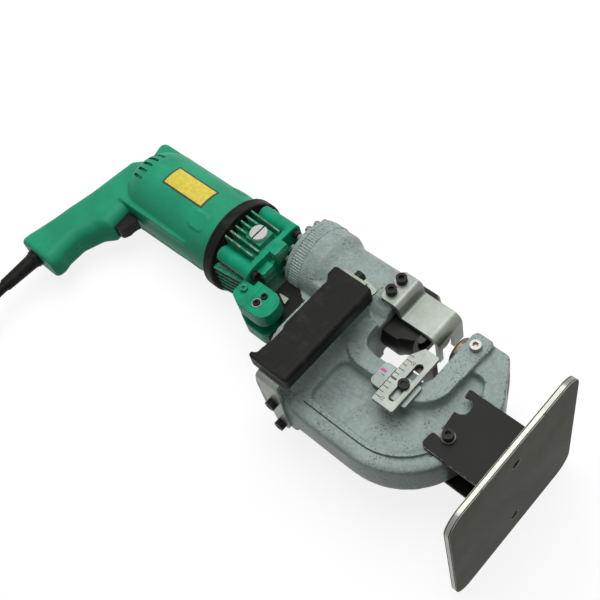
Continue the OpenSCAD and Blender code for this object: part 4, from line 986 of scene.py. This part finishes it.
class PUNCH_OT_housing(bpy.types.Operator):
    """Makes the two halves of the motor housing, their screws and the plain patch"""

    bl_idname = "punch.housing"
    bl_label = "Motor housing"

    radius: bpy.props.FloatProperty(name="Motor radius", default=42.0)

    def execute(self, context):
        skin = fused(joined(*self.forms()), measure("housing_cell"), 5)
        skin = cut(skin, *self.hollows())
        gap = measure("seam_gap") / 2
        for name, low, high in (("upper", -80, gap), ("lower", -gap, 80)):
            half = cut(skin.copy(), block(-420, -150, -200, 80, low, high))
            piece("housing_half_" + name, half, "housing", ("housing_" + name,),
                  40, False)
        skin.free()
        eased_node("housing_screws", "bright", 0.3)
        self.patch()
        return {"FINISHED"}

    def forms(self):
        """The solids that the housing is fused from."""
        r = self.radius
        fillet = 36.0
        rear = arc((MOTOR_X0 + fillet, r - fillet), fillet, 180, 90, 10)
        barrel = turned([(MOTOR_X0, 0)] + rear + [(MOTOR_X1, r), (MOTOR_X1, 0)], 96)
        return [barrel, self.handle(), self.keel()] + self.bosses()

    def handle(self):
        """The handle, lofted through rounded sections from its end up to the motor's back."""
        full = 36
        end = ((-136, -393.5, -347.5, 31, 10), (-133, -395.5, -345.5, full, 12),
               (-126, -395, -344.5, full, 12))
        hold = ((-118, -393, -347, full, 12), (-98, -389, -347.5, full, 12), (-77, -386, -339, full, 12),
                (-67.5, -384, -329, full, 12), (-50, -381, -331, full, 12), (0, -374, -336, full, 9))
        corner = ((10.5, -360.5, -325, full, 6), (18, -359, -318, full, 6), (31, -363, -312, full, 6),
                  (36, -362.5, -311, full, 6), (38.5, -359, -311, 34, 6))
        bm = bmesh.new()
        rings = []
        for y, back, front, thick, edge in end + hold + corner:
            section = slab(back, front, -thick / 2, thick / 2, edge, 0, 1)
            base = [v for v in section.verts if v.co.z < 0.5]
            centre = Vector(((back + front) / 2, 0, 0))
            base.sort(key=lambda v: math.atan2(v.co.y, v.co.x - centre.x))
            ring = [bm.verts.new((v.co.x, y, v.co.y)) for v in base]
            section.free()
            rings.append([bm.edges.new((ring[i - 1], ring[i])) for i in range(len(ring))])
        for low, high in zip(rings, rings[1:]):
            bmesh.ops.bridge_loops(bm, edges=low + high)
        bmesh.ops.holes_fill(bm, edges=rings[0] + rings[-1])
        return outward(bm)

    def keel(self):
        """The flat-sided keel under the motor that runs out towards the ring."""
        bm = block(-344, -247, -41.8, -20, -20.5, 20.5)
        fore = [v for v in bm.verts if v.co.x > -300 and v.co.y < -30]
        bmesh.ops.translate(bm, vec=(0, 1.8, 0), verts=fore)
        bmesh.ops.scale(bm, vec=(1, 1, 0.94), verts=fore)
        return bm

    def bosses(self):
        """Soft pads near the ring, over the screws that hold the ring."""
        made = []
        for angle in (28, 117, 207, 297):
            pad = slab(-250, -232, -9, 9, 4, 30, self.radius + 0.8)
            made.append(moved(pad, rotation(angle - 90, "X")))
        return made

    def hollows(self):
        """What is cut out of the housing: the motor's room, vents, trigger slot, guard seat, screw heads."""
        room = turned([(-345, 0), (-345, 25), (-328, 38.5), (MOTOR_X1 + 1, 38.5), (MOTOR_X1 + 1, 0)], 64)
        vents = []
        for i in range(VENT_N):
            slot = block(MOTOR_X0 + 16, MOTOR_X0 + 32, 26, 60, -1.6, 1.6)
            vents.append(moved(slot, rotation(68 + 11.5 * i, "X")))
        inner = arc((MOTOR_X0 + 36, 6), 33, 180, 90, 10)
        floor = turned([(MOTOR_X0 + 3, 0)] + inner + [(-300, 39), (-300, 0)], 96)
        vents = cut(joined(*vents), floor)
        trigger = block(-375, -300, -65, -43, -7.4, 7.4)
        seat = moved(rod(-1, 12, 8.0, 32),
                     shift(GUARD_X, GUARD_Y, 0) @ rotation(90, "Z"))
        dimple = bmesh.new()
        bmesh.ops.create_uvsphere(dimple, u_segments=24, v_segments=12, radius=14)
        moved(dimple, rotation(-10, "X") @ shift(-318.5, 0, self.radius + 13.2))
        return [room, vents, trigger, seat, dimple]

    def patch(self):
        """A plain yellow patch with a dark border, laid on the motor's curve."""
        for name, x0, x1, a0, a1, lift, look in (("border", -302.7, -245.9, 67.7, 102.3, 0.12, "border"),
                                                 ("field", -300.7, -247.9, 70.4, 99.6, 0.2, "label")):
            bm = bmesh.new()
            r = self.radius + lift
            a = math.radians(a0)
            ends = [bm.verts.new((x, r * math.cos(a), r * math.sin(a))) for x in (x0, x1)]
            edge = bm.edges.new(ends)
            bmesh.ops.spin(bm, geom=ends + [edge], cent=(0, 0, 0), axis=(1, 0, 0), dvec=(0, 0, 0),
                           angle=math.radians(a1 - a0), steps=14)
            bmesh.ops.recalc_face_normals(bm, faces=bm.faces)
            bmesh.ops.solidify(bm, geom=list(bm.faces), thickness=0.3)
            bmesh.ops.recalc_face_normals(bm, faces=bm.faces)
            piece("patch_" + name, bm, look)


class PUNCH_OT_trigger(bpy.types.Operator):
    """Makes the trigger with its finger ribs, and its spring"""

    bl_idname = "punch.trigger"
    bl_label = "Trigger"

    def execute(self, context):
        bm = ease(node_copy("trigger"), 2.6, 4)
        bm = joined(bm, *self.ribs())
        piece("trigger_eased", bm, "trigger", ("trigger",), body="trigger")
        low, high = tool_box("trigger_spring")
        wire = helix(low.x + 0.45, high.x - 0.45, (low.y + high.y) / 2, 3.4, 0.45, 4)
        made = piece("trigger_spring_wire", wire, "bright", ("trigger_spring",))
        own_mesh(made)
        return {"FINISHED"}

    def ribs(self):
        """Finger ribs across the trigger's sloping face."""
        low, high = tool_box("trigger")
        tall = high.y - low.y
        made = []
        for share in (0.25, 0.42, 0.59, 0.76):
            face = high.x - 9 * (1 - share) - 1.5 * math.sin(math.pi * share)
            y = low.y + tall * share
            made.append(ease(block(face - 1.5, face + 0.9, y - 0.8, y + 0.8, -5.6, 5.6), 0.4))
        return made


def tool_box(node):
    """A node's lowest and highest corners in the machine's own axes."""
    points = [TO_TOOL @ v.co for v in NODES[node].data.vertices]
    low = Vector([min(p[k] for p in points) for k in range(3)])
    high = Vector([max(p[k] for p in points) for k in range(3)])
    return low, high


def helix(x0, x1, y, radius, wire, turns):
    """A coil spring along x, of round wire."""
    bm = bmesh.new()
    bmesh.ops.create_circle(bm, cap_ends=True, segments=10, radius=wire)
    moved(bm, shift(x0, radius, 0) @ rotation(180, "X"))
    steps = turns * 24
    bmesh.ops.spin(bm, geom=bm.verts[:] + bm.edges[:] + bm.faces[:], cent=(0, 0, 0), axis=(1, 0, 0),
                   dvec=((x1 - x0) / steps, 0, 0), angle=FULL_TURN * turns, steps=steps)
    moved(bm, shift(0, y, 0))
    return outward(bm)


class PUNCH_OT_ring(bpy.types.Operator):
    """Makes the black clamp ring between motor and pump, with an inner lip that is a gasket and painted
    shade behind the fins
    """

    bl_idname = "punch.ring"
    bl_label = "Clamp ring"

    def execute(self, context):
        x0 = MOTOR_X1
        x1 = PUMP_X0
        profile = [(x0, 42.3), (x0, 45.6)] + arc((x0 + 1.6, 46.4), 1.6, 180, 90, 4)
        profile += [(x0 + 3.4, 48.0), (x0 + 3.7, 47.6), (x0 + 4.0, 48.0)]
        # The lip in to radius 30 at the pump's side: a gasket, and painted shade where the fins' roots lie
        # in deep shade.
        profile += arc((x1 - 1.6, 46.4), 1.6, 90, 0, 4) + [(x1, 42.6), (x1 + 0.3, 42.3), (x1 + 0.3, 30)]
        profile += [(x1 - 0.9, 30), (x1 - 0.9, 42.3)]
        bm = turned(profile, 120, closed=True)
        piece("motor_ring_turned", bm, "ring", ("motor_ring",))
        return {"FINISHED"}


# Pump and valve


class PUNCH_OT_pump(bpy.types.Operator):
    """Makes the finned pump case, its screws and the white filler plug"""

    bl_idname = "punch.pump"
    bl_label = "Pump"

    def execute(self, context):
        bm = fused(joined(*self.forms()), measure("pump_cell"), 2)
        bm = joined(cut(bm, self.chamber()), *self.fins(), *self.pads())
        piece("pump_cast", bm, "pump", ("pump_case",), 40, False)
        cap_screws("pump_screws")
        self.plug()
        return {"FINISHED"}

    def forms(self):
        """The case's core, drum, columns, front plate and neck."""
        half = 29.0
        rear = PUMP_X0 + 0.4
        front = PUMP_X1 - 4
        core = block(rear, front, -half, half, -half, half)
        drum = turned([(rear, 0), (rear, 32), (front, 32), (front, 24), (PUMP_X1, 24), (PUMP_X1, 0)], 64)
        made = [core, drum]
        off = 28
        for y in (-off, off):
            for z in (-off, off):
                made.append(moved(rod(PUMP_X0 + 3, front, 8, 32), shift(0, y, z)))
        plate = slab(-36, 36, -36, 36, 8, front - 6, front)
        made.append(moved(plate, rotation(90, "Y")))
        made.append(moved(rod(PUMP_X1 - 1, HEAD_X, 16.5, 48), shift(0, NECK_Y, 0)))
        return made

    def chamber(self):
        """The room for the gears behind the ring."""
        return moved(rod(PUMP_X0 - 1, PUMP_X0 + 16, 13, 48), shift(0, 13.5, 0))

    def fins(self):
        """Thin fins on all four sides, sloping down from the ring, short where the filler's boss stands."""
        made = []
        rear = PUMP_X0 + 0.4
        for side in range(4):
            for k in range(FIN_N):
                y = FIN_PITCH * (k - (FIN_N - 1) / 2)
                short = side == 0 and abs(y - BOSS_Y) < 9
                end = BOSS_X - 9 if short else PUMP_X1 - 12
                top = FIN_TOP - 4.4 * (end - rear) / 36
                plan = [(rear, 27, 0), (rear, FIN_TOP, 1), (end, top, 1), (end, 27, 0)]
                fin = prism(plan, -y - FIN_T / 2, FIN_T / 2 - y, 3)
                made.append(moved(ease(fin, 0.4), rotation(90 * side, "X") @ rotation(90, "X")))
        return made

    def pads(self):
        """The filler's square boss and the pads at the front of the case."""
        half = 9.4
        boss = slab(BOSS_X - half, BOSS_X + half, BOSS_Y - half, BOSS_Y + half, 1, 26, 38)
        front = PUMP_X1 + 3.5
        tongue = slab(PUMP_X1 - 10, front, -4, 12, 0.8, 20, 36.6)
        low_pad = slab(PUMP_X1 - 5, front, -23, -9, 0.8, 12, 27)
        return [ease(form, 0.7) for form in (boss, tongue, low_pad)]

    def plug(self):
        """The white filler plug, with a coin slot, and a dark strip in the slot as painted shade."""
        low, high = tool_box("filler_plug")
        rim = high.z - 4
        profile = [(low.z, 0), (low.z, 6.5), (rim, 6.5), (rim, 8.1), (rim + 0.4, 8.5), (high.z - 0.5, 8.5),
                   (high.z - 0.1, 8.2), (high.z, 7.8), (high.z, 0)]
        upright = shift(BOSS_X, BOSS_Y, 0) @ rotation(-90, "Y")
        slot = block(BOSS_X - 0.85, BOSS_X + 0.85, BOSS_Y - 9, BOSS_Y + 9, high.z - 1.6, high.z + 1)
        bm = cut(moved(turned(profile, 56), upright), slot)
        piece("filler_plug_turned", bm, "plug", ("filler_plug",))
        # Painted shade: a dark strip in the slot, where the slot lies in shadow.
        slot_shade = block(BOSS_X - 0.8, BOSS_X + 0.8, BOSS_Y - 8.2, BOSS_Y + 8.2, high.z - 1.7, high.z - 0.5)
        piece("plug_slot_shade", ease(slot_shade, 0.1), "hollow")


class PUNCH_OT_valve(bpy.types.Operator):
    """Makes the valve block with its screws, plug and relief valve"""

    bl_idname = "punch.valve"
    bl_label = "Valve block"

    def execute(self, context):
        bm = fused(node_copy("valve_block"), 0.8, 2)
        piece("valve_cast", bm, "pump", ("valve_block",), 60, False)
        low, high = tool_box("valve_screws")
        x = (low.x + high.x) / 2
        y = (low.y + high.y) / 2
        heads = [self.head(x + side / 2, y + 4.5 * side) for side in (-1, 1)]
        piece("valve_screws_low", joined(*heads), "screw", ("valve_screws",))
        profile = [(-0.4, 3.6), (0.4, 3.6), (0.8, 4.0), (0.8, 4.4), (0.4, 4.8), (-0.4, 4.8)]
        washer = self.upright(turned(profile, 40, closed=True), x - 0.5, y - 4.5)
        piece("valve_washer", washer, "bright")
        eased_node("bleed_plug", "pump", 0.4)
        eased_node("relief_valve", "bright", 0.6)
        return {"FINISHED"}

    def upright(self, bm, x, y):
        """A turned form stood up on the block's face."""
        return moved(bm, shift(x, y, VALVE_Z) @ rotation(-90, "Y"))

    def head(self, x, y):
        """A low screw head with a round socket."""
        profile = [(-6, 0), (-6, 2.1), (-0.6, 2.1), (-0.6, 3.4), (1.2, 3.4), (1.7, 3.0), (1.7, 1.8),
                   (1.4, 1.6), (-0.4, 1.6), (-0.4, 0)]
        return self.upright(turned(profile, 28), x, y)


# Punch, die and stripper


class PUNCH_OT_ram(bpy.types.Operator):
    """Makes the punch nut, punch and return spring, and dresses the piston"""

    bl_idname = "punch.ram"
    bl_label = "Ram"

    def execute(self, context):
        self.gland()
        eased_node("punch_nut", "dark", 0.6, body="ram")
        eased_node("punch", "punch", 0.4, body="ram")
        dress("bright", "piston")
        dress("ring", "piston_seal")
        dress("bronze", "rod_bush")
        low, high = tool_box("return_spring")
        wire = helix(low.x + 2, high.x - 2, PUNCH_Y, 19.5, 2, 5)
        made = piece("return_spring_wire", wire, "bright", ("return_spring",))
        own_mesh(made)
        return {"FINISHED"}

    def gland(self):
        """The stepped gland nut on the cylinder's nose, flat on top where the stripper passes over it."""
        x = -35.3
        profile = [(x, 17.5), (x, 30), (x + 1, 31.5), (x + 17, 31.5), (x + 19, 29.5), (x + 24, 27),
                   (x + 29, 25.5), (x + 30.5, 24), (x + 30.5, 17.5)]
        bm = moved(turned(profile, 72, closed=True), shift(0, PUNCH_Y, 0))
        bm = cut(bm, block(-60, 20, -20, 90, 14.5, 60))
        piece("gland_nut", ease(bm, 0.5), "screw")


class PUNCH_OT_die(bpy.types.Operator):
    """Makes the die and its bright cap screw"""

    bl_idname = "punch.die"
    bl_label = "Die"

    def execute(self, context):
        eased_node("die", "die", 0.7, 3)
        eased_node("die_screw", "bright", measure("screw_edge"))
        return {"FINISHED"}


class PUNCH_OT_stripper(bpy.types.Operator):
    """Makes the bent stripper plate and its screws"""

    bl_idname = "punch.stripper"
    bl_label = "Stripper"

    def execute(self, context):
        bm = node_copy("stripper")
        flatten(bm)
        corners = [e for e in bm.edges if self.seat_corner(*[v.co for v in e.verts])]
        bmesh.ops.bevel(bm, geom=corners, offset=4.0, offset_type="OFFSET", affect="EDGES", segments=6,
                        profile=0.5, material=-1)
        bm = ease(bm, measure("sheet_edge"), 2, 40)
        piece("stripper_bent", bm, "zinc", ("stripper",))
        cap_screws("stripper_screws")
        return {"FINISHED"}

    def seat_corner(self, a, b):
        """Whether an edge is an upright corner of the plate's screwed-down end."""
        across = math.hypot(a.x - b.x, a.y - b.y)
        outer = abs(a.y - PUNCH_Y - 4) > 12
        return across < 0.01 and abs(a.z - b.z) > 1.5 and a.x < -40 and outer


# Carry handle


class PUNCH_OT_carry(bpy.types.Operator):
    """Makes the carry bracket, its rubber grip and screws"""

    bl_idname = "punch.carry"
    bl_label = "Carry handle"

    def execute(self, context):
        eased_node("carry_bracket", "zinc", measure("sheet_edge"), 2, 40)
        foot = prism([(-72, 8, 1), (-44.5, 8, 1), (-43.5, 15.5, 3), (-61, 18, 3), (-72, 18, 1)], 51.6, 54.2)
        piece("bracket_foot", ease(foot, measure("sheet_edge")), "zinc")
        low, high = tool_box("carry_grip")
        waist = low.x + 4.4
        plan = [(waist, -68, 8), (waist, -8, 8), (-60, -4, 0), (-60, -72, 0)]
        swell = prism(plan, low.z + 0.2, high.z - 0.2)
        notch = prism([(-95, -97.5, 0), (-75.5, -97.5, 3), (-74, -82, 0), (-95, -82, 0)], 50, 80)
        grip = fused(joined(cut(node_copy("carry_grip"), notch), ease(swell, 3.4, 4)), 0.9, 5)
        piece("grip_rubber", grip, "grip", ("carry_grip",), 60, False)
        cap_screws("carry_screws")
        return {"FINISHED"}


# Depth gauge


class PUNCH_OT_gauge(bpy.types.Operator):
    """Makes the scale bar with its marks, its seat, stop and screw"""

    bl_idname = "punch.gauge"
    bl_label = "Depth gauge"

    def execute(self, context):
        edge = measure("sheet_edge")
        self.seat()
        eased_node("gauge_bar", "alloy", edge, body="gauge")
        low, high = tool_box("gauge_stop")
        tongue = block(low.x - 1, high.x + 1, high.y - 18.8, high.y - 0.5, high.z - 3.8, high.z - 2.2)
        stop = joined(ease(node_copy("gauge_stop"), edge), ease(tongue, 0.3))
        piece("gauge_stop_eased", stop, "dark", ("gauge_stop",), body="gauge")
        cap_screws("gauge_screw")
        self.marks()
        self.index()
        return {"FINISHED"}

    def seat(self):
        """The seat, longer than the bar is wide, with a channel for the stop's tongue and a dark rest."""
        low, high = tool_box("gauge_base")
        start = low.y - 5.5
        step = 8.7
        plan = [(low.x, start, 5), (high.x, start, 2), (high.x, high.y, 2), (low.x, high.y, 5)]
        flat = prism(plan, BAND_Z, BAND_Z + 4)
        plan = [(low.x, start, 5), (step, start, 0), (step, high.y, 0), (low.x, high.y, 5)]
        ledge = prism(plan, BAND_Z + 1, high.z)
        stop_low, stop_high = tool_box("gauge_stop")
        x0 = stop_low.x - 1.6
        x1 = stop_high.x + 1.6
        flat = cut(flat, block(x0, x1, low.y + 10.6, high.y + 1, BAND_Z - 1, BAND_Z + 2.2))
        edge = measure("sheet_edge")
        piece("gauge_seat", joined(ease(flat, edge), ease(ledge, edge)), "machined",
              ("gauge_base",))
        rest = block(stop_low.x - 1, stop_high.x + 1, high.y - 2, high.y + 6.5, BAND_Z + 2.4, BAND_Z + 3.8)
        piece("gauge_rest", ease(rest, 0.3), "dark")

    def marks(self):
        """Scale ticks, every second longer, a bold middle mark and plain numbers at the ends."""
        low, high = tool_box("gauge_bar")
        top = high.z
        ticks = []
        pitch = 5.0
        count = 10
        for i in range(count):
            y = low.y + 5 + pitch * i
            long = 5.6 if i % 2 == 0 else 4.2
            half = 1.0 if i == 4 else 0.38
            ticks.append(block(low.x + 0.5, low.x + 0.5 + long, y - half, y + half, top - 0.2, top + 0.06))
        ends = (("10", 0), ("50", 8))
        numbers = [self.number(word, low.x + 8.0, low.y + 5 + pitch * i, top) for word, i in ends]
        piece("scale_marks", joined(*ticks, *numbers), "ink", even=False, body="gauge")

    def number(self, text, x, y, z):
        """A number lying on the bar, read along it."""
        data = bpy.data.curves.new("number", "FONT")
        data.body = text
        data.size = 4.4
        data.extrude = 0.06
        data.align_x = "CENTER"
        data.align_y = "CENTER"
        made = bpy.data.objects.new("number", data)
        bpy.context.scene.collection.objects.link(made)
        bm = baked(made)
        bmesh.ops.remove_doubles(bm, verts=bm.verts, dist=1e-4)
        return moved(bm, shift(x, y, z) @ rotation(90, "Z"))

    def index(self):
        """The index line and paint dash on the seat."""
        low, high = tool_box("gauge_base")
        mid = (low.y + high.y) / 2
        dash = slab(low.x + 1.5, low.x + 7, mid - 0.7, mid + 2.1, 0.5, high.z - 0.2, high.z + 0.05, 3)
        piece("index_dash", dash, "index")
        line = block(low.x + 5, low.x + 8, mid - 3.4, mid - 2.6, high.z - 0.2, high.z + 0.05)
        piece("index_line", line, "ink", even=False)


# Stand


class PUNCH_OT_stand(bpy.types.Operator):
    """Makes the stand plate, its side plates, bolts and washers"""

    bl_idname = "punch.stand"
    bl_label = "Stand"

    def execute(self, context):
        eased_node("stand_plate", "plate", 1.3, 3)
        self.edge()
        for side in ("upper", "lower"):
            eased_node("stand_side_" + side, "side", measure("sheet_edge"))
        cap_screws("stand_bolts")
        eased_node("stand_washers", "dark", 0.3)
        return {"FINISHED"}

    def edge(self):
        """The bright rubbed strip round the stand plate's edge."""
        low, high = tool_box("stand_plate")
        rings = []
        for out, skew in ((0.06, 0), (-0.6, 1)):
            rings.append(slab(low.y - out, high.y + out, low.z - out, high.z + out, PLATE_CORNER_R + out,
                              low.x + 1.2 - skew, high.x - 1.2 + skew, 10))
        to_plate = Matrix(((0, 0, 1, 0), (1, 0, 0, 0), (0, 1, 0, 0), (0, 0, 0, 1)))
        strip = moved(cut(rings[0], rings[1]), to_plate)
        piece("plate_edge", strip, "bright")


class PUNCH_OT_inner(bpy.types.Operator):
    """Dresses the pieces inside the motor, pump and handle"""

    bl_idname = "punch.inner"
    bl_label = "Inner pieces"

    def execute(self, context):
        dress("copper", "stator", "armature")
        dress("alloy", "fan", "gear_plate")
        dress("bright", "front_bearing", "rear_bearing", "pinion", "drive_gear", "eccentric_shaft",
              "pump_plungers")
        dress("bronze", "brush_holders")
        dress("hollow", "carbon_brushes", "switch_body")
        return {"FINISHED"}


STEPS = (PUNCH_OT_stage, PUNCH_OT_cord, PUNCH_OT_casting, PUNCH_OT_cylinder, PUNCH_OT_housing,
         PUNCH_OT_trigger, PUNCH_OT_ring, PUNCH_OT_pump, PUNCH_OT_valve, PUNCH_OT_ram, PUNCH_OT_die,
         PUNCH_OT_stripper, PUNCH_OT_carry, PUNCH_OT_gauge, PUNCH_OT_stand, PUNCH_OT_inner)


class PUNCH_PT_panel(bpy.types.Panel):
    """Lists the hole punch's colours, sizes and pieces"""

    bl_idname = "PUNCH_PT_panel"
    bl_label = "Hole Punch"
    bl_space_type = "VIEW_3D"
    bl_region_type = "UI"
    bl_category = "Hole Punch"

    def draw(self, context):
        layout = self.layout
        for group in (context.scene.punch_colours, context.scene.punch_sizes):
            box = layout.box()
            for name in group.__annotations__:
                box.prop(group, name)
        for step in STEPS:
            layout.operator(step.bl_idname)


CLASSES = (PunchColours, PunchSizes, *STEPS, PUNCH_PT_panel)


def register():
    """Adds the classes and the scene's settings."""
    for held in CLASSES:
        bpy.utils.register_class(held)
    bpy.types.Scene.punch_colours = bpy.props.PointerProperty(type=PunchColours)
    bpy.types.Scene.punch_sizes = bpy.props.PointerProperty(type=PunchSizes)


def unregister():
    """Removes them again."""
    del bpy.types.Scene.punch_sizes
    del bpy.types.Scene.punch_colours
    for held in reversed(CLASSES):
        bpy.utils.unregister_class(held)


def main():
    """Builds the whole object in order."""
    register()
    for step in STEPS:
        group, name = step.bl_idname.split(".")
        getattr(getattr(bpy.ops, group), name)()


if __name__ == "__main__":
    main()
